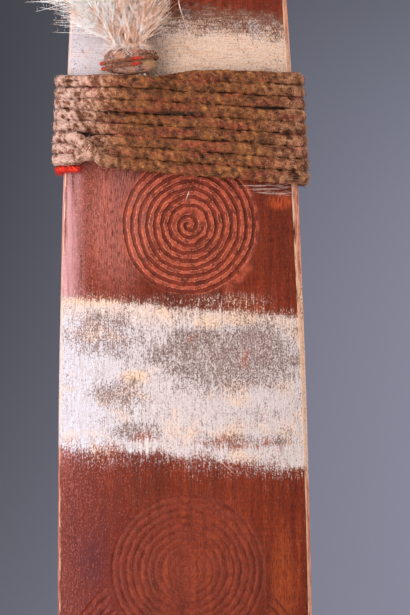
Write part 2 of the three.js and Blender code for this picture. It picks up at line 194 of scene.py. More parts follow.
soft_lamp("key_lamp", (-0.2, -0.2, 0.2), (0, -0.012, 0.2), 0.22, 0.9, 2.7, (1, 0.94, 0.94))
soft_lamp("right_lamp", (0.6, -0.16, 0.3), (0, 0, 0.2), 0.3, 0.9, 3.0, (1, 0.88, 0.76))
soft_lamp("front_lamp", (0.3, -1.6, 1.3), (0, 0, 0.05), 1.2, 1.2, 7, (1, 1, 1))
soft_lamp("back_lamp", (0.5, 1.8, 0.8), (0, 0, 0), 1.4, 1.4, 30, (1, 1, 1))


# Carved board
# One long plank split from hard desert wood, shaped and smoothed by hand. Circles are cut into both faces
# and bows into the front one. The whole is rubbed with grease and red ochre and banded with white clay.
BOARD_LENGTH = 1040
BOARD_WIDTH = 99
BOARD_THICKNESS = 12
TIP_THICKNESS = 7
FRONT_CROWN = 0.8
SHOULDER_DROP = 0.9
EDGE_BEVEL = 2
OUTLINE_POWER = 2.3
FLAT_HALF_LENGTH = 234.3
BOARD_ROWS = 260
FRONT_COLUMNS = 20
BACK_COLUMNS = 10
GROOVE_DEPTH = 0.62
STROKE_STEP = 1.4
STROKE_LENGTH = 4.8
CORNER_WEAR = 0.12
SKIN_RIPPLE = 0.1

TIP = BOARD_LENGTH / 2


def lerp(first, second, share):
    return first + (second - first) * share


def share_of(value, low, high):
    """How far a value is from low to high, held between 0 and 1."""
    return min(max((value - low) / (high - low), 0), 1)


def wavy(x, y, z):
    """A smooth uneven value from about -1 to 1."""
    return noise.noise(Vector((x, y, z)))


def ripple(x, z, size, seed=0.0):
    """The same at a place of a face, in waves of about that size."""
    return wavy(x / size, seed, z / size)


def half_width(z):
    along = min(abs(z) / TIP, 1)
    return BOARD_WIDTH / 2 * (1 - along ** OUTLINE_POWER) ** (1 / OUTLINE_POWER)


def face_draw(z):
    past = max(abs(z) - FLAT_HALF_LENGTH, 0) / (TIP - FLAT_HALF_LENGTH)
    return (BOARD_THICKNESS - TIP_THICKNESS) / 2 * past ** 2


def front_y(x, z):
    across = min(abs(x) / half_width(z), 1)
    crown = FRONT_CROWN * (1 - across ** 2) - SHOULDER_DROP * across ** 5
    return face_draw(z) - BOARD_THICKNESS - crown - SKIN_RIPPLE * ripple(x, 0.4 * z, 26)


def back_y(x, z):
    return -face_draw(z) - CORNER_WEAR - SKIN_RIPPLE * ripple(x, 0.4 * z, 30, 5.0)


def bevel_width(z, side):
    """The front bevel is widest at the right edge, just under the binding, where the picture shows it."""
    spread = 1.25 + 0.35 * ripple(side * 40, z, 60, 2.0)
    if side < 0:
        return 0.85 * spread
    near_binding = math.exp(-(((z - 235) / 85) ** 2))
    return lerp(spread, 2.3, near_binding)


def board_ring(z):
    half = half_width(z)
    half_here = half - CORNER_WEAR * min(half, 1) * (1 + ripple(9, z, 45, 8.0))
    front, back = front_y(half, z), back_y(half, z)
    most = min(0.4 * half, EDGE_BEVEL)
    depth = min(EDGE_BEVEL, 0.3 * (back - front))
    left = min(bevel_width(z, -1), most)
    right = min(bevel_width(z, 1), 1.15 * most)

    def side_points(side, bevel):
        corner = [
            (0.86 * bevel, front + 0.1 * depth),
            (0.1 * bevel, front + 0.9 * depth),
            (0, front + 1.2 * depth),
            (0, back - 1.2 * depth),
            (0.3 * most, back - 0.45 * depth),
            (most, back_y(side * half, z)),
        ]
        return [(side * (half_here - inwards), y) for inwards, y in corner]

    points = []
    for column in range(FRONT_COLUMNS + 1):
        x = lerp(-half_here + left, half_here - right, column / FRONT_COLUMNS)
        points.append((x, front_y(x, z)))
    points += side_points(1, right)
    for column in range(1, BACK_COLUMNS):
        x = lerp(half_here - most, -half_here + most, column / BACK_COLUMNS)
        points.append((x, back_y(x, z)))
    points += side_points(-1, left)[::-1]
    return [Vector((x, y, z)) for x, y in points]


def start_mesh():
    """A mesh to build on, with a map of its skin and a value per point for how high the point stands."""
    bm = bmesh.new()
    bm.loops.layers.uv.new("UVMap")
    bm.verts.layers.float.new("raised")
    return bm


def wrap(bm, rings, closed=False, raised=None):
    """Wraps a grid round rings of equal count, merges its seam, and joins its ends if it is closed."""
    around = len(rings[0])
    along = len(rings) if closed else len(rings) - 1
    made = bmesh.ops.create_grid(bm, x_segments=around, y_segments=along, size=1, calc_uvs=True)
    layer = bm.verts.layers.float["raised"]
    for index, vert in enumerate(made["verts"]):
        row, column = divmod(index, around + 1)
        vert.co = rings[row % len(rings)][column % around]
        if raised:
            vert[layer] = raised[row % len(rings)][column % around]
    bmesh.ops.remove_doubles(bm, verts=made["verts"], dist=1e-5)


def finish_mesh(bm, name):
    """Closes open ends, turns faces outwards and makes a piece of it, from millimetres to metres."""
    bmesh.ops.holes_fill(bm, edges=[edge for edge in bm.edges if edge.is_boundary], sides=0)
    bmesh.ops.recalc_face_normals(bm, faces=bm.faces)
    bmesh.ops.scale(bm, verts=bm.verts, vec=(0.001, 0.001, 0.001))
    mesh = bpy.data.meshes.new(name)
    bm.to_mesh(mesh)
    bm.free()
    for polygon in mesh.polygons:
        polygon.use_smooth = True
    piece = bpy.data.objects.new(name, mesh)
    scene.collection.objects.link(piece)
    return piece


# The cuts. Each has a narrow floor and shallow shoulders, so that the wood left between two cuts stands as a
# rounded ridge. The section goes across and down, both as shares of the cut's own size.
CUT_SECTION = [
    (-1.0, -0.9),
    (1.0, -0.9),
    (0.95, 0.0),
    (0.7, 0.16),
    (0.42, 0.92),
    (0.0, 1.1),
    (-0.42, 0.92),
    (-0.7, 0.16),
    (-0.95, 0.0),
]


def cut(bm, line, face, width, depth, closed, seed):
    """Adds the shape of one cut along a line of (x, z) places to the cutter."""
    rings = []
    count = len(line)
    for i, (x, z) in enumerate(line):
        before = line[i - 1] if closed or i else line[0]
        after = line[(i + 1) % count] if closed or i + 1 < count else line[-1]
        way = Vector((after[0] - before[0], 0, after[1] - before[1])).normalized()
        across = Vector((way.z, 0, -way.x))
        from_end = min(i, count - 1 - i) * STROKE_STEP if not closed else 9
        shallow = min(0.25 + 0.25 * from_end, 1)
        deep = depth * shallow * (1 + 0.32 * ripple(x, z, 5, seed) + 0.24 * ripple(x, z, 1.4, seed + 1))
        wide = width * (0.6 + 0.4 * shallow) * (1 + 0.24 * ripple(x, z, 4, seed + 3))
        surface = front_y(x, z) if face < 0 else back_y(x, z)
        ring = []
        for number, (aside, down) in enumerate(CUT_SECTION):
            level = deep * down if down > 0 else 0.9 * down
            crumble = 0.2 * ripple(x, z, 1.1, seed + 5 + 3 * (aside > 0)) if number > 1 else 0
            ring.append(Vector((x, surface - face * level, z)) + across * (aside * wide + crumble))
        rings.append(ring)
    wrap(bm, rings, closed)


def hand_ring(centre, radius, seed, squash=1.0):
    """A circle as a hand cuts it: short straight strokes, with a slow drift in and out."""
    strokes = max(round(2 * math.pi * radius / STROKE_LENGTH), 7)
    corners = []
    for k in range(strokes):
        angle = 2 * math.pi * (k + 0.3 * ripple(k * 7, radius, 1.7, seed)) / strokes
        heading = Vector((math.cos(angle), math.sin(angle), seed))
        drift = 0.62 * noise.noise(heading) + 0.26 * noise.noise(heading * 2.3)
        own = 0.3 * wavy(3 * heading.x, 3 * heading.y, seed + radius)
        away = radius + drift * min(radius / 10, 1.7) + own
        corners.append((centre[0] + away * heading.x, centre[1] + squash * away * heading.y))
    line = []
    for k, (x, z) in enumerate(corners):
        next_x, next_z = corners[(k + 1) % strokes]
        parts = max(round(math.hypot(next_x - x, next_z - z) / STROKE_STEP), 1)
        for part in range(parts):
            line.append((lerp(x, next_x, part / parts), lerp(z, next_z, part / parts)))
    return line


def spiral(centre, from_radius, to_radius, turns, turned, seed):
    line = []
    steps = round(turns * 22)
    for k in range(steps + 1):
        angle = turned + 2 * math.pi * turns * k / steps
        away = lerp(from_radius, to_radius, k / steps) + 0.14 * ripple(angle * 3, k, 2, seed)
        line.append((centre[0] + away * math.cos(angle), centre[1] + away * math.sin(angle)))
    return line


def bow(centre, radius, from_angle, to_angle, seed):
    """An open curve that flanks a circle."""
    steps = max(round(abs(to_angle - from_angle) * radius / STROKE_STEP), 4)
    line = []
    for k in range(steps + 1):
        angle = lerp(from_angle, to_angle, k / steps)
        away = radius + 0.3 * ripple(angle * 8, radius, 2, seed)
        line.append((centre[0] + away * math.cos(angle), centre[1] + away * math.sin(angle)))
    return line


# Circles as (x, z, radius, cuts, depth, height over width, seed), from the top of the board down. The second
# to the fourth show in the picture, wholly or in part. Only the third starts from a hooked spiral.
HOOKED = 13.0
FRONT_CIRCLES = [
    (0.5, 458, 15, 5, 0.55, 1.0, 11.0),
    (0.0, 336.5, 26, 9, 0.55, 1.0, 12.0),
    (3.3, 230.2, 26.4, 9, 0.64, 1.035, HOOKED),
    (1.4, 97, 30.2, 11, 0.42, 0.99, 14.0),
    (-0.8, -97, 27, 9, 0.5, 1.0, 15.0),
    (0.6, -225, 26, 9, 0.55, 1.0, 16.0),
    (-0.5, -345, 24, 8, 0.55, 1.0, 17.0),
    (0.4, -462, 14, 5, 0.5, 1.0, 18.0),
]
BACK_CIRCLES = [
    (0.0, 150, 27, 8, 0.5, 1.0, 21.0),
    (0.8, 0, 28, 8, 0.5, 1.0, 22.0),
    (-0.6, -150, 27, 8, 0.5, 1.0, 23.0),
]
BOW_CENTRES = [(0.0, 54), (0.0, -54)]
BOW_RADII = [47.4, 44.5, 41.6, 38.7, 35.8]

cutters = [start_mesh(), start_mesh()]
for face, circles in ((-1, FRONT_CIRCLES), (1, BACK_CIRCLES)):
    for x, z, radius, cuts, depth, squash, seed in circles:
        pitch = radius / (cuts + 0.15)
        first = 2 if seed == HOOKED else 0
        for k in range(cuts - 1, first - 1, -1):
            worn = 1 if seed == HOOKED else 0.45 + 0.55 * share_of(k / cuts, 0.15, 0.6)
            line = hand_ring((x, z), pitch * (k + 0.72), seed, squash)
            cut(cutters[k % 2], line, face, 0.42 * pitch, depth * worn, True, seed + k)
        if seed == HOOKED:
            hook = spiral((x, z), 0.9, 1.9 * pitch, 1.7, 1.9, seed)
            cut(cutters[1], hook, face, 0.39 * pitch, depth, False, seed)
for x, z in BOW_CENTRES:
    upward = 1 if z > 0 else -1
    beside_x, beside_z, beside_radius = FRONT_CIRCLES[3 if z > 0 else 4][:3]
    for k, radius in enumerate(BOW_RADII):
        for side in (-1, 1):
            whole = bow((x, z), radius, 0.04 * k - 0.5, 1.5, 31.0 + side)
            line = [(side * px, z + upward * (pz - z)) for px, pz in whole]
            line = [place for place in line
                    if math.hypot(place[0] - beside_x, place[1] - beside_z) > beside_radius + 1.3]
            cut(cutters[k % 2], line, -1, 1.2, 0.9 * GROOVE_DEPTH, False, 40.0 + k + side)

# Nicks knocked out of the edges, as (x, z, length)
EDGE_NICKS = [
    (-49.2, 145.9, 3.0),
    (-49.4, 139.6, 2.2),
    (-49.5, 134.2, 1.8),
    (-49.3, 107.5, 1.6),
    (49.2, 188, 2.0),
    (48.6, -60, 2.6),
    (-46.8, -232, 3.2),
    (44.5, 286, 2.4),
    (-41.0, 330, 2.0),
    (49.0, 62, 1.8),
]
nicks = start_mesh()
for x, z, length in EDGE_NICKS:
    place = Matrix.Translation((x, front_y(x, z) + 0.2, z)) @ Matrix.Diagonal((1.3, 1.2, length, 1))
    bmesh.ops.create_icosphere(nicks, subdivisions=2, radius=0.55, matrix=place)

board_bm = start_mesh()
board_heights = []
for row in range(BOARD_ROWS + 1):
    share = 2 * row / BOARD_ROWS - 1
    board_heights.append(0.9995 * TIP * share * (1.5 - 0.5 * share * share))
wrap(board_bm, [board_ring(z) for z in board_heights])
board = finish_mesh(board_bm, "board_with_carving")
for number, shape in enumerate([*cutters, nicks]):
    cutter = finish_mesh(shape, f"cutter_{number}")
    carve = board.modifiers.new("carve", "BOOLEAN")
    carve.operation = "DIFFERENCE"
    carve.solver = "MANIFOLD"
    carve.object = cutter
    carved = bpy.data.meshes.new_from_object(board.evaluated_get(bpy.context.evaluated_depsgraph_get()))
    board.modifiers.clear()
    board.data = carved
    bpy.data.objects.remove(cutter)

carved_depth = board.data.attributes.new("carved", "FLOAT", "POINT")
edge_share = board.data.attributes.new("edge_share", "FLOAT", "POINT")
for vert in board.data.vertices:
    x, y, z = [1000 * value for value in vert.co]
    inwards = half_width(z) - abs(x)
    if inwards > 2.6:
        deep = y - front_y(x, z) if y < -6 else back_y(x, z) - y
        carved_depth.data[vert.index].value = max(deep, 0)
    bevelled = bevel_width(z, math.copysign(1, x)) if y < -6 else EDGE_BEVEL
    edge_share.data[vert.index].value = max(inwards, 0) / bevelled
board.data.set_sharp_from_angle(angle=math.radians(38))


def times(first, second):
    return maths("MULTIPLY", first, second)


def times_plus(value, factor, added):
    return maths("MULTIPLY_ADD", value, factor, added)


def larger(first, second):
    return maths("MAXIMUM", first, second)


def mix(share, first, second):
    return put("Mix", {0: share, 2: first, 3: second}).outputs[0]


def point_value(name):
    """A value that the piece's mesh holds for each of its points."""
    return put("Attribute", attribute_name=name).outputs["Fac"]


def between(value, low, high, to_low=0.0, to_high=1.0, smooth=True):
    """Maps a value from one range to another, and holds it there."""
    kind = "SMOOTHSTEP" if smooth else "LINEAR"
    sockets = {0: value, 1: low, 2: high, 3: to_low, 4: to_high}
    mapped = put("MapRange", sockets, interpolation_type=kind, clamp=False).outputs[0]
    if smooth:
        return mapped
    return put("Clamp", {0: mapped, 1: min(to_low, to_high), 2: max(to_low, to_high)}).outputs[0]


def grain(size, along=1.0, detail=3.0, rough=0.5, shift=0.0, across=1.0):
    """Noise whose patches are size millimetres, times across sideways and times along up the board."""
    scale = (1 / (size * across), 1 / size, 1 / (size * along))
    spread = put("VectorMath", {0: spot, 1: scale, 2: (shift, shift, shift)}, operation="MULTIPLY_ADD")
    node = put("TexNoise", {"Vector": spread.outputs[0], "Scale": 1, "Detail": detail, "Roughness": rough})
    return node.outputs["Fac"]


def ramp(value, *stops):
    """A colour for each value, from stops of (value, red, green, blue)."""
    node = put("ValToRGB", {0: value})
    shades = node.color_ramp.elements
    for number, (at, *shade) in enumerate(stops):
        if number < 2:
            shades[number].position = at
        stop = shades[number] if number < 2 else shades.new(at)
        stop.color = sRGB(*shade)
    return node.outputs[0]


def millimetres():
    """Where a point of the piece is, in millimetres."""
    place = put("TexCoord").outputs["Object"]
    return put("VectorMath", {0: place, 3: 1000.0}, operation="SCALE").outputs[0]


def effect(name, inputs, outputs):
    """A new shader node group, with its inputs' first values. A place or a size is a tuple of three."""
    group = bpy.data.node_groups.new(name, "ShaderNodeTree")
    for label, value in inputs.items():
        kind = "NodeSocketVector" if isinstance(value, tuple) else "NodeSocketFloat"
        group.interface.new_socket(name=label, in_out="INPUT", socket_type=kind).default_value = value
    for label in outputs:
        group.interface.new_socket(name=label, in_out="OUTPUT", socket_type="NodeSocketFloat")
    return group, group.nodes.new("NodeGroupInput").outputs, group.nodes.new("NodeGroupOutput").inputs


def use(name, sockets):
    return put("Group", {"Position": spot, **sockets}, node_tree=bpy.data.node_groups[name]).outputs[0]


def dry_pigment(amount, size, length, softness):
    """Where grains of pigment lie, when an amount of it is rubbed on."""
    return use("flecks", {"Amount": amount, "Size": size, "Length": length, "Softness": softness})


def patch_at(x, z, half_x, half_z, slant=0.0, y=-12, half_y=20):
    """A soft patch on the front of a piece."""
    return use("soft_patch", {"Middle": (x, y, z), "Half Size": (half_x, half_y, half_z), "Slant": slant})


def weighted(*parts):
    """The sum of values that each come with a weight."""
    total = times(*parts[0])
    for value, weight in parts[1:]:
        total = times_plus(value, weight, total)
    return total


def tint(under, share, colour, strength=1.0):
    """One colour laid over what is under it."""
    share = share if strength == 1.0 else times(share, strength)
    return blend_colour(share, under, colour)


def relief(height, strength, distance=0.001):
    return put("Bump", {"Height": height, "Distance": distance, "Strength": strength}).outputs[0]


# Flecks: an amount from 0 to 1 is broken up into small grains, as dry pigment is on a rough surface.
tree, fleck_in, fleck_out = effect(
    "flecks",
    {"Position": (0.0, 0.0, 0.0), "Amount": 0.5, "Size": 0.5, "Length": 1.0, "Softness": 0.08},
    ["Mask"],
)
fleck_long = times(fleck_in["Size"], fleck_in["Length"])
fleck_scale = put("CombineXYZ", {
    0: maths("DIVIDE", 1.0, fleck_in["Size"]),
    1: maths("DIVIDE", 1.0, fleck_in["Size"]),
    2: maths("DIVIDE", 1.0, fleck_long),
}).outputs[0]
fleck_place = put("VectorMath", {0: fleck_in["Position"], 1: fleck_scale}, operation="MULTIPLY").outputs[0]
fleck_noise = put("TexNoise", {"Vector": fleck_place, "Scale": 1, "Detail": 2.5, "Roughness": 0.6})
fleck_level = between(fleck_in["Amount"], 0, 1, 0.74, 0.26, smooth=False)
fleck_over = maths("SUBTRACT", fleck_noise.outputs["Fac"], fleck_level)
fleck_share = maths("DIVIDE", fleck_over, fleck_in["Softness"])
tree.links.new(between(fleck_share, -0.5, 0.5), fleck_out["Mask"])

# A round patch with soft edges, such as a place where the clay is rubbed thin. Slant leans it to the right.
tree, patch_in, patch_out = effect(
    "soft_patch",
    {"Position": (0.0, 0.0, 0.0), "Middle": (0.0, 0.0, 0.0), "Half Size": (1.0, 1.0, 1.0), "Slant": 0.0},
    ["Mask"],
)
patch_from = put("VectorMath", {0: patch_in["Position"], 1: patch_in["Middle"]}, operation="SUBTRACT")
patch_xyz = xyz_of(patch_from.outputs[0])
patch_lean = times(patch_xyz[2], patch_in["Slant"])
patch_straight = put("CombineXYZ", {
    0: maths("SUBTRACT", patch_xyz[0], patch_lean),
    1: patch_xyz[1],
    2: patch_xyz[2],
}).outputs[0]
patch_share = put("VectorMath", {0: patch_straight, 1: patch_in["Half Size"]}, operation="DIVIDE").outputs[0]
patch_length = put("VectorMath", {0: patch_share}, operation="LENGTH").outputs[1]
tree.links.new(between(patch_length, 0.5, 1.3, 1.0, 0.0), patch_out["Mask"])

tree, shader = new_look(board, "ochred_wood")
spot = millimetres()
spot_xyz = xyz_of(spot)
on_front = between(spot_xyz[1], -6, -4, 1, 0)
on_back = between(spot_xyz[1], -6, -4)
cut_here = point_value("carved")
edge_here = point_value("edge_share")


# Wood and ochre: long streaks, fine dark pores, slow changes of tone, dust that is also a painted sheen
# towards the left, and a painted sheen along the left edge
slow_tone = grain(30, 2.4, 2, shift=4.0)
streaks = grain(2.4, 16, 5, 0.62)
fibres = grain(0.38, 7, 3, 0.6, 7.0)
chatter = grain(1.1, 0.8, 2, 0.5, 2.0, 7.0)
tone = weighted((fibres, 0.62), (streaks, 0.7), (slow_tone, 0.62), (chatter, 0.22))
wood = ramp(between(tone, 0.74, 1.42, smooth=False),
            (0, 60, 17, 7), (1, 148, 62, 28), (0.3, 86, 29, 12), (0.62, 110, 39, 16))
pores = dry_pigment(0.3, 0.36, 5.0, 0.12)
wood = tint(wood, pores, sRGB(48, 16, 7), 0.5)
leftness = between(spot_xyz[0], -4, -46, smooth=False)
# Pink dust flecks that thicken to the left: dust, and also a painted sheen that brightens the left of the
# face.
dust_and_sheen_amount = times_plus(leftness, 0.36, 0.04)
dust_and_sheen = dry_pigment(dust_and_sheen_amount, 0.5, 1.6, 0.2)
wood = tint(wood, times(dust_and_sheen, on_front), sRGB(186, 110, 102), 0.46)
# A painted sheen: a pale pink streaky strip along the left edge of the front, on its upper part only.
upper_part = between(spot_xyz[2], 128, 190)
left_edge_sheen = times(between(spot_xyz[0], -35, -46), between(streaks, 0.3, 0.55))
left_edge_sheen = times(left_edge_sheen, upper_part)
wood = tint(wood, times(left_edge_sheen, on_front), sRGB(228, 180, 184), 0.5)
# Stains and painted light, as (x, z, half width, half height, strength, colour)
STAINS_AND_PAINTED_LIGHT = [
    # Painted shade: darkens the lower left of the front.
    (-38, 92, 20, 46, 0.75, (82, 24, 24)),
    (-36, 101, 5, 10, 0.55, (70, 28, 36)),
    (38, 92, 5, 22, 0.3, (176, 84, 40)),
    (38.5, 239, 5, 3.5, 0.5, (196, 84, 40)),
    (2, 128, 26, 5, 0.3, (92, 36, 18)),
    (-8, 308.5, 16, 5, 0.55, (84, 40, 22)),
    (-5, 302.5, 9, 5, 0.5, (120, 66, 38)),
    # Painted sheen: a pale pink patch left of the hooked circle.
    (-24, 233, 13, 27, 0.3, (206, 132, 120)),
]
for *place, strength, shade in STAINS_AND_PAINTED_LIGHT:
    uneven = times(patch_at(*place), between(fibres, 0.3, 0.6))
    wood = tint(wood, uneven, sRGB(*shade), strength)

# The circles: ridges rubbed to a paler pink, crumbled rims made pale with a painted highlight, and cuts dark
# with old grease
ring_zone = None
for face, circles in ((-1, FRONT_CIRCLES), (1, BACK_CIRCLES)):
    for x, z, radius, cuts, depth, squash, seed in circles:
        middle = (x, -12.0 if face < 0 else 0.0, z)
        away = put("VectorMath", {0: spot, 1: middle}, operation="DISTANCE").outputs[1]
        rubbed_pink = 1.0 if seed == HOOKED else 0.09
        zone = between(away, radius + 1.1, radius - 0.3, 0.0, rubbed_pink)
        zone = times(zone, on_front if face < 0 else on_back)
        if seed == HOOKED:
            beyond = between(away, radius + 4.2, radius + 2.2)
        ring_zone = zone if ring_zone is None else larger(ring_zone, zone)
outer_lip = times(patch_at(21.5, 210, 7, 8), times(beyond, 0.75))
ring_zone = larger(ring_zone, outer_lip)
high_wood = between(cut_here, 0.04, 0.34, 1, 0)
crumbs = grain(0.75, 1.2, 4, 0.7, 6.0)
rub_noise = between(times_plus(crumbs, 0.5, grain(3, 1.2, 3, 0.6, 2.0)), 0.56, 0.94)
rubbed = times(times(ring_zone, high_wood), rub_noise)
wood = tint(wood, rubbed, sRGB(172, 80, 55), 0.85)
# Rims of the cuts: pale crumbled wood, with a painted highlight along every rim.
rim_wear_and_highlight = times(between(cut_here, 0.015, 0.07), between(cut_here, 0.22, 0.1))
rim_wear_and_highlight = times(rim_wear_and_highlight, times(ring_zone, between(crumbs, 0.46, 0.6)))
wood = tint(wood, rim_wear_and_highlight, sRGB(222, 142, 112), 0.75)
in_cut = between(cut_here, 0.14, 0.42)
cut_tone = blend_colour(rub_noise, sRGB(84, 28, 16), sRGB(136, 54, 34))
wood = tint(wood, in_cut, cut_tone, 0.7)

# White clay in bands across the front, as the heights of each band's upper and lower edge on the axis. It is
# a thin film: its thickness is laid out first, and the grain of the wood shows through where that is low.
CLAY_BANDS = [(425, 367), (310, 266), (198.7, 140.2), (-5, -70), (-130, -195), (-255, -315), (-375, -430)]
BAND_SLOPE = 0.1
band_height = times_plus(spot_xyz[0], BAND_SLOPE, spot_xyz[2])
inside = None
for top, bottom in CLAY_BANDS:
    below_top = maths("SUBTRACT", top, band_height)
    above_bottom = times(maths("SUBTRACT", band_height, bottom), 0.6)
    depth = maths("MINIMUM", below_top, above_bottom)
    inside = depth if inside is None else larger(inside, depth)
wander = times_plus(grain(15, 0.5, 2, 0.5, 3.0), 5.0, -2.5)
above_binding = between(spot_xyz[2], 262, 278)
downstrokes = grain(0.8, 5, 3, 0.6, 13.0)
dabs = grain(2.6, 0.6, 4, 0.65, 31.0)
brushed = mix(above_binding, downstrokes, dabs)
brushed = times_plus(brushed, times_plus(above_binding, 9.0, 3.0), -1.5)
brushed = times_plus(above_binding, -4.5, brushed)
inside = maths("ADD", inside, maths("ADD", wander, brushed))

# Places where the picture shows the film thinner or thicker: x, z, half width, half height, slant, amount
CLAY_PATCHES = [
    (17.0, 180.5, 33, 15, 0.0, -0.46),
    (-31, 189, 14, 10, 0.0, -0.36),
    (-24.4, 165.5, 12, 8, 0.0, -0.34),
    (-17.5, 151, 11, 4, 0.0, -0.4),
    (21.9, 146.5, 16, 3.4, -0.3, -0.4),
    (40, 148.5, 4.5, 4, 0.0, -0.26),
    (-30.6, 174.5, 17, 5.5, 0.0, 0.16),
    (-41, 158, 8, 10, 0.0, 0.16),
    (-1, 157, 12, 8.5, 0.0, 0.14),
    (12, 192, 14, 3.5, 0.0, 0.24),
    (18, 296, 28, 7, 0.0, 0.16),
    (-37, 297, 10, 11, 0.0, 0.6),
    (6, 306.5, 26, 3.5, 0.0, -0.26),
    (33, 305, 12, 5, 0.0, -0.28),
]
uneven_film = grain(9, 0.8, 4, 0.62, 9.0)
thickness = times_plus(uneven_film, 1.1, 0.14)
for *place, amount in CLAY_PATCHES:
    thickness = times_plus(patch_at(*place), amount, thickness)

# Thin splashes of clay that lie outside the bands, as (x, z, half width, half height, amount)
THIN_SPLASHES = [
    (19, 201.5, 19, 4, 0.2),
    (-44, 246, 6, 12, 0.2),
]
fringe = times(between(inside, -5.0, -0.5), 0.16)
for *place, amount in THIN_SPLASHES:
    fringe = larger(fringe, times(patch_at(*place), amount))
film_edge = between(inside, -2.2, 2.6)
film = times(larger(times(film_edge, thickness), fringe), on_front)
film_grain = grain(0.5, 1.4, 3, 0.65, 17.0)
down_streaks = grain(0.42, 12, 2, 0.6, 19.0)
cross_streaks = grain(0.5, 1, 3, 0.6, 29.0, 16.0)
film_streaks = mix(above_binding, down_streaks, cross_streaks)
film_texture = weighted((film_grain, 2.0), (film_streaks, 1.3))
film_level = times_plus(film, 1.2, maths("SUBTRACT", film_texture, 1.65))
near_band = times(between(times_plus(fringe, 20, inside), -5.5, 0.5, 0.12, 1.0), on_front)
clay = times(between(film_level, 0.12, 0.86), near_band)
veil = times(between(times_plus(above_binding, 5.0, inside), -1.5, 3), on_front)
thin_tone = blend_colour(between(film_grain, 0.3, 0.7), sRGB(92, 76, 70), sRGB(166, 150, 144))
rubbed_low = larger(between(band_height, 156, 143), between(band_height, 298, 308))
reddish = times_plus(rubbed_low, 0.26, grain(7, 1.2, 2, 0.5, 23.0))
reddish = between(reddish, 0.63, 0.74)
rubbed_tone = blend_colour(above_binding, sRGB(140, 76, 54), sRGB(106, 66, 44))
thin_tone = tint(thin_tone, reddish, rubbed_tone, 0.8)
coloured = tint(wood, veil, thin_tone, 0.82)
cream = between(grain(14, 0.7, 3, 0.6, 12.0), 0.48, 0.66, 0, 0.7)
# Places where the clay is creamier, or whiter, laid out in the same way
CREAM_PATCHES = [
    (10, 191.5, 6, 3.5, 1.0),
    (22, 193.5, 6, 2.5, 1.0),
    (-19.3, 172.5, 5.5, 3, 1.0),
    (-33, 201.5, 12, 2, 0.8),
    (14, 293, 36, 10, 0.66),
    (-30, 179, 18, 6, -1.0),
    (-40, 158, 8, 9, -0.7),
    (-37, 296, 12, 14, -1.0),
    (14, 181, 30, 12, -1.0),
]
cream = times_plus(between(band_height, 187, 196), 0.55, cream)
for *place, amount in CREAM_PATCHES:
    cream = times_plus(patch_at(*place), amount, cream)
pale_clay = blend_colour(leftness, sRGB(198, 188, 186), sRGB(194, 195, 206))
clay_colour = blend_colour(between(cream, 0, 1, smooth=False), pale_clay, sRGB(218, 186, 160))
shading = between(film_texture, 1.35, 2.0, 0.62, 0.0)
clay_colour = tint(clay_colour, shading, sRGB(168, 150, 144))
coloured = tint(coloured, clay, clay_colour, 0.96)
wiped = times(between(cross_streaks, 0.52, 0.64), times(above_binding, veil))
coloured = tint(coloured, wiped, sRGB(150, 104, 74), 0.46)
specks = dry_pigment(0.16, 0.85, 1.4, 0.08)
coloured = tint(coloured, times(specks, veil), sRGB(92, 66, 56), 0.75)

# Scratches through the pigment, as (x, z, half width, half length, slant, strength)
SCRATCHES = [
    (-13.8, 146.4, 0.24, 4.8, 0.0, 0.9),
    (16.2, 137.4, 0.2, 3.6, -1.1, 0.5),
    (2.7, 241.6, 0.2, 2.2, 0.35, 0.8),
    (-6.5, 150.0, 0.2, 6.5, 0.02, 0.5),
    (33, 243.8, 6.5, 0.24, 0.0, 0.5),
    (36, 242.2, 5.0, 0.2, 0.0, 0.45),
    (30, 245.2, 7.5, 0.2, 0.0, 0.45),
]
for *place, strength in SCRATCHES:
    scratch = times(patch_at(*place), between(crumbs, 0.34, 0.5))
    coloured = tint(coloured, times(scratch, on_front), sRGB(226, 202, 188), strength)
smears = times(patch_at(37, 243.5, 11, 3.2), between(grain(0.5, 1, 2, 0.6, 3.0, 12.0), 0.5, 0.62))
coloured = tint(coloured, smears, sRGB(196, 168, 156), 0.45)

# Edges: pigment rubbed off the corners, and the bare wood of the facets along the edges, painted paler and
# stronger on the right as painted light on the facet that faces right
rightness = between(spot_xyz[0], 5, 20)
corner_noise = between(grain(1.6, 5, 4, 0.6, 5.0), times_plus(rightness, -0.1, 0.42), 0.56)
on_corner = between(maths("ABSOLUTE", maths("SUBTRACT", edge_here, 0.95)), 0.3, 0.12)
coloured = tint(coloured, times(on_corner, corner_noise), sRGB(228, 188, 158), 0.85)
# Bare wood and painted light: a pale tone on the bevels, twice as strong on the right edge that faces the
# right lamp.
on_bevel = times(between(edge_here, 0.95, 0.75), times_plus(rightness, 0.45, 0.45))
facet_grain = between(grain(1.2, 6, 4, 0.65), 0.36, 0.62)
bevel_tone_and_light = blend_colour(facet_grain, sRGB(158, 90, 68), sRGB(220, 154, 126))
edge_clay = times(between(band_height, 220, 206), between(band_height, 132, 142))
edge_clay = times(edge_clay, between(crumbs, 0.4, 0.56))
bevel_tone_and_light = tint(bevel_tone_and_light, edge_clay, sRGB(240, 204, 172), 0.8)
on_bevel = times(on_bevel, on_front)
coloured = tint(coloured, times(on_bevel, times_plus(clay, -0.55, 1)), bevel_tone_and_light)

dull = larger(clay, times(in_cut, 0.6))
dull = larger(dull, times(ring_zone, 0.45))
dull = larger(dull, on_bevel)
gloss = times_plus(fibres, 0.3, 0.28)
roughness = mix(dull, gloss, 0.9)
beside_cut = between(cut_here, 0.0, 0.12, 0.07, 0.3)
height = times(beside_cut, crumbs)
height = times_plus(fibres, 0.07, height)
height = times_plus(streaks, 0.06, height)
height = times_plus(chatter, 0.03, height)
feed(shader, {
    "Base Color": coloured,
    "Roughness": roughness,
    "Specular IOR Level": 0.18,
    "Normal": relief(height, 0.8),
})

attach(board, "root")
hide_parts("carved_board")


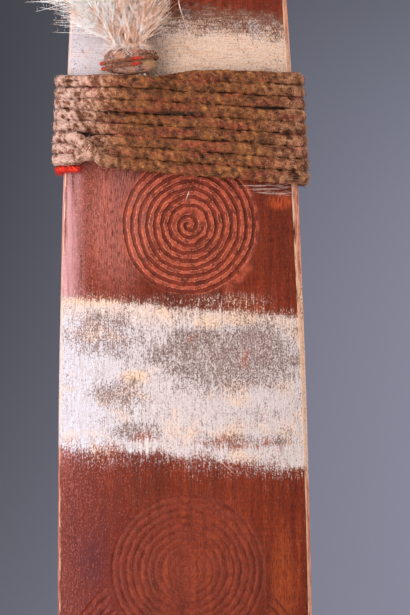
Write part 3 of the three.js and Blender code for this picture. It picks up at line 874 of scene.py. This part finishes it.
# Hair-string binding
# One long two-ply string spun from hair, stiff with grease and red ochre. It is wound round the board in
# eight turns that press together, and its last turn crosses two others at the left edge to lock them.
CORD_RADIUS = 1.9
FIRST_LIFT = 2.35
SECOND_LIFT = 6.75
BINDING_TOP = 288
LEFT_PITCH = 4.3
RIGHT_PITCH = 4.74
LEFT_PASSES = 7
CROSSING_LEVEL = 5
LEVEL_UNTIL = -37.0
CLOSED_UP_AT = -31
CORD_STEP = 0.62
CORD_SIDES = 20
CORD_DEPTH = 2.2
PLY_PITCH = 7.5
SQUARENESS = 2.6
HAIR_RAISED = 0.8
HAIR_SHARES = (0, 0.35, 0.7, 1)
FUZZ_COUNT = 4200
BUNDLE_TURNS = 3
BUNDLE_LEFT = -26.1
BUNDLE_RIGHT = -11.9
BUNDLE_FRONT = -16.8
BUNDLE_LEAN = 2.85
RAMP_LENGTH = 10
FOOT_Z = 274.3
WAD_BOTTOM = 287.6


def left_z(level):
    return BINDING_TOP - CORD_RADIUS - LEFT_PITCH * level


def right_z(level):
    return BINDING_TOP - CORD_RADIUS - RIGHT_PITCH * level


CROSSING_Z = left_z(CROSSING_LEVEL)
FACE_EDGE = EDGE_BEVEL - half_width(CROSSING_Z)


def left_level(turn):
    """The crossing turn takes a level of its own at the left edge, and turns below it move down by one."""
    return turn if turn < CROSSING_LEVEL else turn + 1


def front_run(turn, x):
    even = lerp(left_z(turn), right_z(turn + 1), share_of(x, FACE_EDGE, -FACE_EDGE))
    if turn < CROSSING_LEVEL or turn >= LEFT_PASSES:
        return even
    return even - LEFT_PITCH * share_of(x, CLOSED_UP_AT, FACE_EDGE + CORD_RADIUS)


def back_run(turn, x):
    return lerp(left_z(left_level(turn)), right_z(turn), share_of(x, LEVEL_UNTIL, -FACE_EDGE))


def on_face(face, x, z, lift):
    return Vector((x, front_y(x, z) - lift if face < 0 else back_y(x, z) + lift, z))


def round_edge(face, side, z, lift, leaving=True):
    """Places round one corner of the board's section, from the edge on to the face or the other way."""
    half = half_width(z)
    middle_x = side * (half - EDGE_BEVEL)
    middle_y = front_y(half, z) + EDGE_BEVEL if face < 0 else back_y(half, z) - EDGE_BEVEL
    places = []
    for degrees in (0, 18, 36, 54, 72, 90):
        turned = math.radians(degrees)
        reach = EDGE_BEVEL + lift
        x = middle_x + side * reach * math.cos(turned)
        places.append(Vector((x, middle_y + face * reach * math.sin(turned), z)))
    return places if leaving else places[::-1]


def over_bundle(x, z):
    lean = BUNDLE_LEAN * share_of(z + CORD_RADIUS, FOOT_Z, WAD_BOTTOM)
    return Vector((x, BUNDLE_FRONT - lean - FIRST_LIFT, z))


def front_half(turn):
    places = round_edge(-1, -1, left_z(left_level(turn)), FIRST_LIFT)
    ramp_left = BUNDLE_LEFT - RAMP_LENGTH
    for share in (0.3, 0.65, 1):
        x = lerp(FACE_EDGE, ramp_left, share)
        places.append(on_face(-1, x, front_run(turn, x), FIRST_LIFT))
    for x in (BUNDLE_LEFT, -19, BUNDLE_RIGHT):
        z = front_run(turn, x)
        places.append(over_bundle(x, z) if turn < BUNDLE_TURNS else on_face(-1, x, z, FIRST_LIFT))
    for x in (BUNDLE_RIGHT + RAMP_LENGTH, 10, 22, 34):
        places.append(on_face(-1, x, front_run(turn, x), FIRST_LIFT))
    return places + round_edge(-1, 1, right_z(turn + 1), FIRST_LIFT, leaving=False)


def back_half(turn):
    places = round_edge(1, 1, right_z(turn), FIRST_LIFT)
    places += [on_face(1, x, back_run(turn, x), FIRST_LIFT) for x in (30, 15, 0, -15, -28, LEVEL_UNTIL)]
    return places + round_edge(1, -1, left_z(left_level(turn)), FIRST_LIFT, leaving=False)


# The last turn climbs on the back over the two turns above it and comes down over the same two on the front.
# Each row is a distance from the left edge's flat in string diameters, then the share of the way from the
# height below the other turns up to the crossing's height, then how far up it is in the second layer.
CLIMB = [
    (16.3, 0, 0),
    (12.3, 0, 0),
    (8.7, 0.03, 0.62),
    (6.65, 0.24, 1),
    (4.8, 0.56, 1),
    (3.2, 0.9, 1),
    (1.9, 1, 0.84),
    (0.35, 1, 0),
]
DESCENT = [
    (0.35, 0.98, 0.42),
    (0.95, 0.85, 0.95),
    (1.6, 0.62, 1),
    (2.4, 0.3, 1),
    (3.1, 0.06, 1),
    (3.9, 0, 0.8),
    (4.8, 0, 0.3),
    (5.6, 0, 0),
]


def crossing_row(face, row):
    across, rise, layer = row
    x = FACE_EDGE + across * 2 * CORD_RADIUS
    if face < 0:
        low = front_run(LEFT_PASSES, x)
    else:
        low = lerp(left_z(LEFT_PASSES + 1), right_z(LEFT_PASSES), share_of(x, FACE_EDGE, -FACE_EDGE))
    return on_face(face, x, lerp(low, CROSSING_Z, rise), lerp(FIRST_LIFT, SECOND_LIFT, layer))


def binding_line():
    starts = ((-8, 2.0), (2, 1.2), (14, 0.3), (25, 0), (35, 0))
    line = [on_face(-1, x, front_run(-1, x) - drop, FIRST_LIFT) for x, drop in starts]
    line += round_edge(-1, 1, right_z(0), FIRST_LIFT, leaving=False)
    for turn in range(LEFT_PASSES):
        line += back_half(turn) + front_half(turn)
    end = right_z(LEFT_PASSES + 1)
    line += round_edge(1, 1, right_z(LEFT_PASSES), FIRST_LIFT)
    line += [crossing_row(1, row) for row in CLIMB]
    line += round_edge(1, -1, CROSSING_Z, FIRST_LIFT, leaving=False)
    line += round_edge(-1, -1, CROSSING_Z, FIRST_LIFT)
    line += [crossing_row(-1, row) for row in DESCENT]
    line += [on_face(-1, x, front_run(LEFT_PASSES, x), FIRST_LIFT) for x in (-8, 8, 22, 35)]
    line += round_edge(-1, 1, end, FIRST_LIFT, leaving=False)
    line += round_edge(1, 1, end, FIRST_LIFT)
    line += [on_face(1, x, end, FIRST_LIFT) for x in (34, 20)]
    return line


def even_steps(line, step, smoothing=2):
    """The same line in even steps, with its corners eased."""
    places = []
    spare = 0.0
    for here, there in zip(line, line[1:]):
        length = (there - here).length
        while spare < length:
            places.append(here.lerp(there, spare / length))
            spare += step
        spare -= length
    for _ in range(smoothing):
        eased = [places[0]]
        eased += [(places[i - 1] + 2 * places[i] + places[i + 1]) / 4 for i in range(1, len(places) - 1)]
        places = [*eased, places[-1]]
    return places


def frames_along(places, hint):
    """For each place its side, up and forward directions, turned as little as possible along the line."""
    side = Vector(hint)
    frames = []
    for i, place in enumerate(places):
        ahead = (places[min(i + 1, len(places) - 1)] - places[max(i - 1, 0)]).normalized()
        side = (side - ahead * side.dot(ahead)).normalized()
        frames.append((place, side.copy(), ahead.cross(side), ahead))
    return frames


# Gaps that stand open between turns on the front, as (x, half length, z, how far they open)
OPEN_GAPS = [
    (-2, 14, 272.9, 0.55),
    (34, 8, 274.7, 0.55),
    (-28, 8, 283.0, 0.3),
    (-41, 5, 281.8, 0.6),
    (-15.5, 4, 280.6, 0.5),
    (-9, 9, 268.4, 0.3),
    (-30, 7, 263.6, 0.35),
    (8, 10, 263.4, 0.25),
    (20, 6, 259.0, 0.3),
    (-24, 8, 259.6, 0.35),
    (4, 4, 254.6, 0.4),
    (26, 9, 249.9, 0.25),
]


def loosen(place):
    """Lets a turn wander a little, and moves it off its neighbour where a gap stands open."""
    x, y, z = place
    place.z += 0.3 * wavy(x / 17, z / 3, y / 9) + 0.12 * wavy(x / 5, z / 3, 7.5)
    if y < -9:
        for middle, half, level, opening in OPEN_GAPS:
            near = max(1 - ((x - middle) / half) ** 2, 0) * max(1 - abs(z - level) / 4, 0)
            place.z += math.copysign(0.8 * opening * near, z - level)
        place.y += 0.35 * wavy(x / 9, z / 3.5, 3.5)


def way_round(side, up, angle):
    return side * math.cos(angle) + up * math.sin(angle)


def string_skin(place, side, up, angle, travelled, half_side, half_up):
    """A point of the string's skin, and how high it is among its lumps and pits."""
    across, outward = abs(math.cos(angle)) / half_side, abs(math.sin(angle)) / half_up
    away = (across ** SQUARENESS + outward ** SQUARENESS) ** (-1 / SQUARENESS)
    twist = angle - 2 * math.pi * travelled / PLY_PITCH
    skin = place + way_round(side, up, angle) * away
    lumps = 0.3 * noise.noise(skin / 3.1) + 0.07 * math.cos(2 * twist)
    clots = 0.3 * noise.noise(skin / 1.3 + Vector((9, 2, 4)))
    shreds = 0.3 * wavy(skin.x / 1.5, skin.y / 0.75, skin.z / 0.75)
    pit = max(noise.noise(skin / 3.3 + Vector((1, 7, 3))) - 0.5, 0) * (1 + noise.noise(skin / 1.1))
    rise = lumps + clots + shreds - 2.2 * pit
    return place + way_round(side, up, angle) * (away + rise), min(max(0.55 + rise / 1.1, 0), 1)


def ring_round(place, side, up, size, sides):
    return [place + way_round(side, up, 2 * math.pi * k / sides) * size for k in range(sides)]


def strand_rings(places, thickness):
    """Rings of one fine hair that starts and ends in a point."""
    last = len(places) - 1
    rings = []
    for i, (place, side, up, ahead) in enumerate(frames_along(places, (0.31, 0.52, 0.79))):
        size = 0 if i in (0, last) else thickness * (1 - 0.7 * i / last)
        rings.append(ring_round(place, side, up, size, 3))
    return rings


def add_hairs(bm, hairs):
    """Adds many hairs at once, from one grid. Each is a list of rings that ends in a point both ways."""
    rings = [ring for hair in hairs for ring in hair]
    around = len(rings[0])
    layer = bm.verts.layers.float["raised"]
    grid = bmesh.ops.create_grid(bm, x_segments=around, y_segments=len(rings) - 1, size=1, calc_uvs=True)
    made = grid["verts"]
    for index, vert in enumerate(made):
        row, column = divmod(index, around + 1)
        vert.co = rings[row][column % around]
        vert[layer] = HAIR_RAISED
    first_row = 0
    between_hairs = []
    for hair in hairs[:-1]:
        first_row += len(hair)
        row = made[(first_row - 1) * (around + 1):first_row * (around + 1)]
        next_row = set(made[first_row * (around + 1):(first_row + 1) * (around + 1)])
        for vert in row:
            between_hairs += [face for face in vert.link_faces if any(v in next_row for v in face.verts)]
    bmesh.ops.delete(bm, geom=list(set(between_hairs)), context="FACES_ONLY")
    bare = [edge for edge in {edge for vert in made for edge in vert.link_edges} if not edge.link_faces]
    bmesh.ops.delete(bm, geom=bare, context="EDGES")
    bmesh.ops.remove_doubles(bm, verts=[vert for vert in made if vert.is_valid], dist=1e-4)


def swing(most):
    """A random amount to either side."""
    return dice.uniform(-most, most)


dice = random.Random(7)
cord_line = even_steps(binding_line(), CORD_STEP, 6)
for place in cord_line:
    loosen(place)
cord_frames = frames_along(cord_line, (0, 0, 1))
cord_bm = start_mesh()
cord_rings = []
cord_raised = []
for i, (place, side, up, ahead) in enumerate(cord_frames):
    travelled = i * CORD_STEP
    to_end = (len(cord_frames) - 1 - i) * CORD_STEP
    taper = min(0.35 + travelled / 22, 0.4 + to_end / 12, 1)
    swell = 1 + 0.07 * wavy(travelled / 8, 1.5, 0)
    merging = 1.03 + 0.16 * wavy(place.x / 11, place.y / 11, place.z / 3)
    half_side = taper * swell * merging * (2.17 + 0.2 * share_of(place.x, -45, 45))
    half_up = taper * swell * CORD_DEPTH
    skins = []
    for k in range(CORD_SIDES):
        angle = 2 * math.pi * k / CORD_SIDES
        skins.append(string_skin(place, side, up, angle, travelled, half_side, half_up))
    cord_rings.append([point for point, high in skins])
    cord_raised.append([high for point, high in skins])
wrap(cord_bm, cord_rings, raised=cord_raised)
fuzz = []
for _ in range(FUZZ_COUNT):
    i = dice.randrange(3, len(cord_frames) - 8)
    place, side, up, ahead = cord_frames[i]
    k = dice.randrange(CORD_SIDES)
    start = cord_rings[i][k]
    outward = (start - place).normalized()
    round_it = ahead.cross(outward)
    way = ahead * swing(1) + round_it * swing(1) + outward * dice.uniform(0.0, 0.22)
    way.normalize()
    length = dice.uniform(1.2, 3.4)
    hair = []
    for t in HAIR_SHARES:
        sink = outward * (0.16 + 0.25 * (length * t) ** 2 / 4)
        hair.append(start - sink + way * (length * t) + outward * (0.34 * math.sin(math.pi * t)))
    fuzz.append(strand_rings(hair, dice.uniform(0.08, 0.17)))
add_hairs(cord_bm, fuzz)
binding = finish_mesh(cord_bm, "hair_string")

tree, shader = new_look(binding, "greased_hair_string")
spot = millimetres()
spot_xyz = xyz_of(spot)
raised_here = point_value("raised")
clots = grain(0.8, 0.8, 4, 0.7)
hair_lines = grain(0.3, 1.0, 3, 0.65, 3.0, 3.5)
cross_hairs = grain(0.3, 4.0, 2, 0.65, 6.0)
# The string is darker in its pits and lighter on its lumps: partly grease in the pits, partly painted shade,
# and painted light on the lumps.
string_tone_and_shade = weighted((clots, 0.34), (raised_here, 0.6), (hair_lines, 0.6), (cross_hairs, 0.35))
dusted = between(spot_xyz[0], -12, -47)
dusted = times_plus(between(spot_xyz[0], 22, 48), 0.42, dusted)
dusted = times(dusted, between(spot_xyz[1], -4, -9))
string_share = between(times_plus(dusted, 0.06, string_tone_and_shade), 0.59, 1.36, smooth=False)
brown = ramp(string_share,
             (0, 17, 8, 5), (1, 210, 154, 90), (0.2, 50, 25, 12), (0.42, 94, 51, 24), (0.7, 142, 85, 40))
reddened = ramp(string_share,
                (0, 18, 8, 5), (1, 196, 116, 78), (0.22, 58, 23, 13), (0.45, 104, 46, 26),
                (0.7, 144, 68, 40))
by_turn = grain(4.0, 0.75, 3, 0.6, 9.0, 5.0)
string_colour = blend_colour(between(by_turn, 0.48, 0.66), brown, reddened)
on_top = between(raised_here, 0.25, 0.75)
clay_amount = times(times_plus(dusted, 0.74, 0.13), on_top)
string_clay = dry_pigment(clay_amount, 0.5, 0.8, 0.42)
dust_tone = blend_colour(dusted, sRGB(196, 144, 104), sRGB(208, 180, 170))
string_clay = times(string_clay, between(hair_lines, 0.36, 0.6, 0.45, 0.9))
string_colour = tint(string_colour, string_clay, dust_tone)
# Painted shade in hollows: in open gaps between turns and in a dark hole beside the wad, as (x, z, half
# width, half height)
PAINTED_SHADE_HOLLOWS = [(-10.5, 280.8, 4.5, 2.2), (-1, 272.9, 12, 1.0), (34, 274.7, 7, 0.8)]
for x, z, half_x, half_z in PAINTED_SHADE_HOLLOWS:
    # Painted shade: near-black patches where the gaps and the hole lie in shadow.
    hollow_shade = times(patch_at(x, z, half_x, half_z, y=-16, half_y=8), between(clots, 0.3, 0.5))
    string_colour = tint(string_colour, hollow_shade, sRGB(22, 10, 6), 0.85)
string_height = weighted((clots, 0.5), (hair_lines, 0.3), (cross_hairs, 0.2))
feed(shader, {
    "Base Color": string_colour,
    "Roughness": 0.85,
    "Specular IOR Level": 0.3,
    "Normal": relief(string_height, 0.9),
})

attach(binding, "root")
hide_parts("hair_string_binding")


# Red wool strand
# A short piece of bright red wool yarn round the left edge. Its ends are tucked under the
# last turn of the string, which holds it.
YARN_DIAMETER = 2.8
STRAND_LIFT = 1.85
STRAND_RISE = 0.4
PLY_SIDES = 12


def add_yarn(bm, places, thickness, plies, pitch, hair_count, seed):
    """A soft yarn along a line: its plies, and the loose fibres that lie on it and stand off it."""
    frames = frames_along(places, (0, 0, 1))
    step = (places[1] - places[0]).length
    for ply in range(plies):
        rings = []
        for i, (place, side, up, ahead) in enumerate(frames):
            turn = 2 * math.pi * (ply / plies + i * step / pitch)
            ease = min(0.25 + 0.25 * min(i, len(frames) - 1 - i), 1)
            middle = place + way_round(side, up, turn) * (thickness * 0.2)
            ring = []
            for k in range(PLY_SIDES):
                skin = way_round(side, up, 2 * math.pi * k / PLY_SIDES)
                uneven = noise.noise((middle + skin) / 0.8 + Vector((seed, 0, 0)))
                ring.append(middle + skin * (thickness * 0.28 * ease * (1 + 0.35 * uneven)))
            rings.append(ring)
        wrap(bm, rings)
    loose = []
    for _ in range(hair_count):
        place, side, up, ahead = dice.choice(frames[1:-1])
        angle = dice.uniform(0, 2 * math.pi)
        outward = way_round(side, up, angle)
        start = place + outward * thickness * 0.4
        way = (ahead * swing(1) + outward * dice.uniform(0.05, 0.6) + side * swing(0.6)).normalized()
        length = thickness * dice.uniform(0.4, 1.1)
        hair = [start + way * (length * t) - outward * (0.35 * length * t * t) for t in HAIR_SHARES]
        loose.append(strand_rings(hair, thickness * dice.uniform(0.015, 0.03)))
    add_hairs(bm, loose)


strand_z = left_z(LEFT_PASSES) - CORD_RADIUS - 0.9 - YARN_DIAMETER / 2 + STRAND_RISE
strand_line = [on_face(1, x, strand_z, STRAND_LIFT) for x in (-24, -34)]
strand_line += round_edge(1, -1, strand_z, STRAND_LIFT, leaving=False)
strand_line += round_edge(-1, -1, strand_z, STRAND_LIFT)
strand_line.append(on_face(-1, -38, strand_z, STRAND_LIFT))
strand_bm = start_mesh()
add_yarn(strand_bm, even_steps(strand_line, 0.4), YARN_DIAMETER, 3, 6.0, 900, 1.0)
wool_strand = finish_mesh(strand_bm, "wool_strand")

tree, shader = new_look(wool_strand, "red_wool")
spot = millimetres()
spot_xyz = xyz_of(spot)
wool_tone = weighted((grain(3), 0.3), (grain(0.5, 1, 4, 0.7), 0.7))
wool = ramp(between(wool_tone, 0.36, 0.66, smooth=False),
            (0, 120, 18, 12), (1, 226, 78, 54), (0.5, 194, 42, 28))
grubby = between(grain(1.4, 1, 3, 0.6, 8.0), 0.56, 0.68)
wool = tint(wool, grubby, sRGB(120, 62, 44), 0.3)
feed(shader, {"Base Color": wool, "Roughness": 0.9, "Specular IOR Level": 0.2})

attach(wool_strand, "root")
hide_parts("red_wool_strand")


# Feathers
# Eleven white and buff down feathers in a fan. Their quills stand in two rows under the first three turns of
# the string and run up through the gum wad. Each is one piece: a bent shaft with its soft barbs.
FEATHER_COUNT = 11
QUILL_PITCH = 2.1
QUILL_RADIUS = 0.8
BUNDLE_X = -19
BUNDLE_BACK = -12.72
WAD_TOP = 298.1
FEATHER_LENGTH = 80
LENGTH_SPREAD = 12
SIDE_SHORTENING = 18
FAN_LEFT = 44
FAN_RIGHT = 17
FEATHER_STEPS = 32
BARBS_PER_SIDE = 190
BARBULE_STATIONS = 8
LONGEST_BARB = 16.5
SHORTEST_BARB = 11
BARB_THICKNESS = 0.15
BARBULE_THICKNESS = 0.075
BARB_SHARES = (0, 0.17, 0.34, 0.51, 0.68, 0.85, 1)
LOWEST_BARBS = 0.014


def quill_foot(number):
    row = number % 2
    x = BUNDLE_X + (number // 2 - 2.5 + (row - 0.5) / 2) * QUILL_PITCH
    y = BUNDLE_BACK - 0.35 - QUILL_RADIUS - row * QUILL_PITCH
    high_y = y - BUNDLE_LEAN
    return [Vector((x, y, FOOT_Z)), Vector((x, high_y, WAD_BOTTOM)), Vector((x, high_y, WAD_TOP))]


def round_rings(frames, sizes):
    """Rings of a plain round shaft."""
    return [ring_round(place, side, up, size, 8) for (place, side, up, ahead), size in zip(frames, sizes)]


def shaft_line(number, fan, tilt, length):
    places = quill_foot(number)
    place = places[-1].copy()
    step = length / FEATHER_STEPS
    for i in range(FEATHER_STEPS):
        along = (i + 0.5) * step
        spread = 1 - 0.45 * math.exp(-along / 8) + 0.25 * (along / length) ** 2
        turn, lean = math.radians(fan * spread), math.radians(tilt * spread)
        place.x += step * math.sin(turn) * math.cos(lean)
        place.y -= step * math.sin(lean)
        place.z += step * math.cos(turn) * math.cos(lean)
        places.append(place.copy())
    return places


def any_way(most):
    return Vector([swing(most) for _ in range(3)])


def along_curve(start, way, curl, reach, t):
    """The place at a share t of a curve that sets out one way and bends another."""
    return start + way * (reach * t) + curl * (reach * t * t)


def add_barbs(bm, frames):
    """Soft barbs up both sides of a shaft, longest at its base, each with its own fine barbules."""
    hairs = []
    for hand in (-1, 1):
        for k in range(BARBS_PER_SIDE):
            if k % 9 == 0:
                drift = any_way(0.3)
            share = ((k + dice.random()) / BARBS_PER_SIDE) ** 1.15
            place, side, up, ahead = frames[2 + int(share * FEATHER_STEPS)]
            reach = lerp(LONGEST_BARB, SHORTEST_BARB, share) * dice.uniform(0.5, 1.05)
            opened = math.radians(30 + 14 * math.sin(math.pi * share) + swing(24))
            way = ahead * math.cos(opened) + side * (hand * math.sin(opened)) + up * swing(0.8) + drift
            curl = ahead * 0.25 + any_way(0.28)
            if share < LOWEST_BARBS:
                way = side * swing(1) - up * dice.uniform(0.3, 1) + ahead * dice.uniform(0, 0.7)
                curl = Vector((0, 0, -0.5)) + any_way(0.3)
                reach *= 0.55
            way.normalize()
            barb = [along_curve(place, way, curl, reach, t) for t in BARB_SHARES]
            hairs.append(strand_rings(barb, BARB_THICKNESS))
            for station in range(BARBULE_STATIONS):
                t = (station + 1.2 + swing(0.4)) / (BARBULE_STATIONS + 1)
                root = along_curve(place, way, curl, reach, t)
                for flip in (-1, 1):
                    fine = ahead * dice.uniform(0.3, 1) + side * (flip * dice.uniform(0.2, 1))
                    fine += up * swing(0.7)
                    tip = root + fine * dice.uniform(0.9, 2.2)
                    bent = root.lerp(tip, 0.5) + any_way(0.15)
                    hairs.append(strand_rings([root, bent, tip], BARBULE_THICKNESS))
    add_hairs(bm, hairs)


feathers = []
for number in range(FEATHER_COUNT):
    dice = random.Random(100 + number)
    fan = lerp(-FAN_LEFT, FAN_RIGHT, number / (FEATHER_COUNT - 1))
    layer = 2 * (number % 2) + (number // 2 + 1) % 2
    shorter = SIDE_SHORTENING * (fan / FAN_LEFT) ** 2
    length = FEATHER_LENGTH + LENGTH_SPREAD * math.sin(2.4 * number + 0.7) - shorter
    frames = frames_along(shaft_line(number, fan, 7 + 6.5 * layer, length), (1, 0, 0))
    sizes = [lerp(QUILL_RADIUS, 0.12, (max(i - 2, 0) / FEATHER_STEPS) ** 0.3) for i in range(len(frames))]
    feather_bm = start_mesh()
    wrap(feather_bm, round_rings(frames, sizes))
    add_barbs(feather_bm, frames)
    feathers.append(finish_mesh(feather_bm, f"down_feather_{number + 1:02d}"))

tree, shader = new_look(feathers[0], "down")
spot = millimetres()
streak_of_buff = grain(2.2, 4, 3, 0.6)
spot_xyz = xyz_of(spot)
higher = between(spot_xyz[2], 298, 326, 0.04, -0.02, smooth=False)
rightward = between(spot_xyz[0], -34, -12, -0.07, 0.05, smooth=False)
buff_share = between(maths("ADD", maths("ADD", streak_of_buff, higher), rightward), 0.46, 0.56)
down_tone = blend_colour(grain(0.6, 1, 2), sRGB(246, 240, 234), sRGB(254, 253, 252))
down_colour = tint(down_tone, buff_share, sRGB(236, 164, 106), 0.8)
dark_tips = between(grain(3.5, 1.5, 3, 0.7, 5.0), 0.64, 0.72)
down_colour = tint(down_colour, dark_tips, sRGB(120, 86, 68), 0.6)
feed(shader, {"Base Color": down_colour, "Roughness": 0.85, "Specular IOR Level": 0.25, "Sheen Weight": 1.0})
for number, feather in enumerate(feathers):
    feather.data.materials.clear()
    feather.data.materials.append(bpy.data.materials["down"])
    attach(feather, "root")
    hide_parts(f"feather_{number + 1:02d}")


# Bare feather shaft
# A feather that has lost its barbs. Its thin pale shaft arches over to the right, down close to the board.
# Its quill stands in the same rows as the others, under the string and through the gum.
BARE_ROUTE = [
    (0, 0, 0),
    (2, 2.7, 14),
    (6, 5.2, 27),
    (11, 4.4, 31),
    (14.3, 1, 25),
    (13.3, -1.3, 18),
    (14.8, -2.3, 12),
    (17.6, -2.3, 3.5),
]
bare_line = quill_foot(FEATHER_COUNT)
bare_top = bare_line[-1]
bare_points = [bare_top + Vector((right, -out, up)) for right, out, up in BARE_ROUTE]
for i, here in enumerate(bare_points[:-1]):
    before, there = bare_points[max(i - 1, 0)], bare_points[i + 1]
    after = bare_points[min(i + 2, len(bare_points) - 1)]
    for k in range(1, 7):
        t = k / 6
        bend = (2 * before - 5 * here + 4 * there - after) * t * t
        bend += (3 * here - before - 3 * there + after) * t ** 3
        bare_line.append(0.5 * (2 * here + (there - before) * t + bend))
bare_bm = start_mesh()
bare_sizes = [lerp(0.42, 0.16, i / len(bare_line)) for i in range(len(bare_line))]
wrap(bare_bm, round_rings(frames_along(bare_line, (1, 0, 0)), bare_sizes))
bare_shaft = finish_mesh(bare_bm, "bare_shaft")

tree, shader = new_look(bare_shaft, "bare_quill")
spot = millimetres()
horn = blend_colour(between(grain(1.5, 3), 0.35, 0.65), sRGB(176, 148, 132), sRGB(232, 222, 216))
feed(shader, {"Base Color": horn, "Roughness": 0.4})

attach(bare_shaft, "root")
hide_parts("bare_feather_shaft")


# Gum wad
# A lump of brown spinifex gum, pressed warm round the quills just above the string. It glues the tuft
# together, and dust and sand stick to it.
WAD_WIDTH = 20
WAD_DEPTH = 9.6
WAD_HEIGHT = 10.5
WAD_LEVELS = 48
WAD_SIDES = 96
WAD_BACK = BUNDLE_BACK - 2.3
wad_middle = Vector((BUNDLE_X, WAD_BACK + 0.8 - WAD_DEPTH / 2, WAD_BOTTOM + WAD_HEIGHT / 2))


def wad_fullness(rise):
    return (1 - min(abs(rise) / (WAD_HEIGHT / 2), 1) ** 3) ** (1 / 3)


wad_bm = start_mesh()
wad_rings = []
wad_raised = []
for level in range(WAD_LEVELS + 1):
    rise = -0.497 * WAD_HEIGHT * math.cos(math.pi * level / WAD_LEVELS)
    half_x, half_y = WAD_WIDTH / 2 * wad_fullness(rise), WAD_DEPTH / 2 * wad_fullness(rise)
    ring = []
    raised = []
    for k in range(WAD_SIDES):
        angle = 2 * math.pi * k / WAD_SIDES
        away = Vector((half_x * math.cos(angle), half_y * math.sin(angle), rise))
        dents = 0.6 * noise.noise(away / 3.2) + 0.35 * noise.noise(away / 1.3)
        dents += 0.2 * noise.noise(away / 0.6)
        away *= 0.96 + 0.12 * dents
        place = wad_middle + away
        place.y = min(place.y, WAD_BACK)
        ring.append(place)
        raised.append(0.5 + dents)
    wad_rings.append(ring)
    wad_raised.append(raised)
wrap(wad_bm, wad_rings, raised=wad_raised)
wad = finish_mesh(wad_bm, "spinifex_gum")

tree, shader = new_look(wad, "gum")
spot = millimetres()
gum_high = point_value("raised")
gum_grain = grain(0.7, 1, 4, 0.7)
# The gum is darker in its dents and lighter on its bulges: painted shade and light.
gum_tone_and_shade = weighted((gum_high, 0.5), (gum_grain, 0.8))
gum = ramp(between(gum_tone_and_shade, 0.4, 0.95, smooth=False),
           (0, 60, 32, 20), (1, 186, 130, 94), (0.5, 136, 86, 58))
gum_dust = dry_pigment(0.42, 0.8, 1.0, 0.3)
gum = tint(gum, gum_dust, sRGB(196, 164, 156), 0.6)
gum = tint(gum, patch_at(-11, 293, 4, 3, y=-20, half_y=12), sRGB(168, 124, 72), 0.6)
feed(shader, {"Base Color": gum, "Roughness": 0.75, "Normal": relief(gum_grain, 0.8, 0.0006)})

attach(wad, "root")
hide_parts("gum_wad")


# Red wool tie
# Two slanting turns of thin red wool that hold the gum wad together, caked with gum except at a few places.
# Its ends are pressed into the gum.
TIE_THICKNESS = 1.5
TIE_HEIGHT = 2.0
TIE_LEAN = math.radians(9)
TIE_STEPS = 48
TIE_OUT = TIE_THICKNESS / 2

tie_line = []
for i in range(2 * TIE_STEPS + 1):
    angle = 2 * math.pi * i / TIE_STEPS - math.pi / 3
    rise = TIE_HEIGHT * (1 - i / TIE_STEPS) + math.tan(TIE_LEAN) * WAD_WIDTH / 2 * math.cos(angle)
    share = wad_fullness(rise)
    x = BUNDLE_X + (WAD_WIDTH / 2 * share + TIE_OUT) * math.cos(angle)
    y = wad_middle.y + (WAD_DEPTH / 2 * share + TIE_OUT) * math.sin(angle)
    tie_line.append(Vector((x, min(y, WAD_BACK + TIE_OUT), wad_middle.z + rise)))
dice = random.Random(9)
tie_bm = start_mesh()
add_yarn(tie_bm, even_steps(tie_line, 0.35), TIE_THICKNESS, 2, 3.4, 700, 2.0)
tie = finish_mesh(tie_bm, "wool_tie")

tree, shader = new_look(tie, "gummed_red_wool")
spot = millimetres()
spot_xyz = xyz_of(spot)
gum_grain = grain(0.7, 1, 4, 0.7)
wool = ramp(between(grain(0.5, 1, 4, 0.7, 2.0), 0.34, 0.66, smooth=False),
            (0, 92, 22, 14), (1, 206, 80, 54), (0.5, 164, 46, 30))
caked = ramp(between(gum_grain, 0.3, 0.7, smooth=False),
             (0, 58, 30, 20), (1, 164, 112, 88), (0.5, 112, 68, 50))
uneven_cake = times(grain(2.2, 1, 3, 0.6), 8.0)
from_knot = maths("ABSOLUTE", maths("ADD", spot_xyz[0], 16.3))
right_of_middle = between(maths("ADD", from_knot, uneven_cake), 5.9, 5.1)
far_left = between(maths("ADD", spot_xyz[0], uneven_cake), -24.4, -25.4)
bare_wool = larger(right_of_middle, far_left)
feed(shader, {"Base Color": tint(caked, bare_wool, wool), "Roughness": 0.9, "Specular IOR Level": 0.2})

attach(tie, "root")
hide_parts("red_wool_tie")


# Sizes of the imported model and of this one
seen_low, seen_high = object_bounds()
sizes = {"cad": [list(cad_low), list(cad_high)], "visual": [list(seen_low), list(seen_high)]}
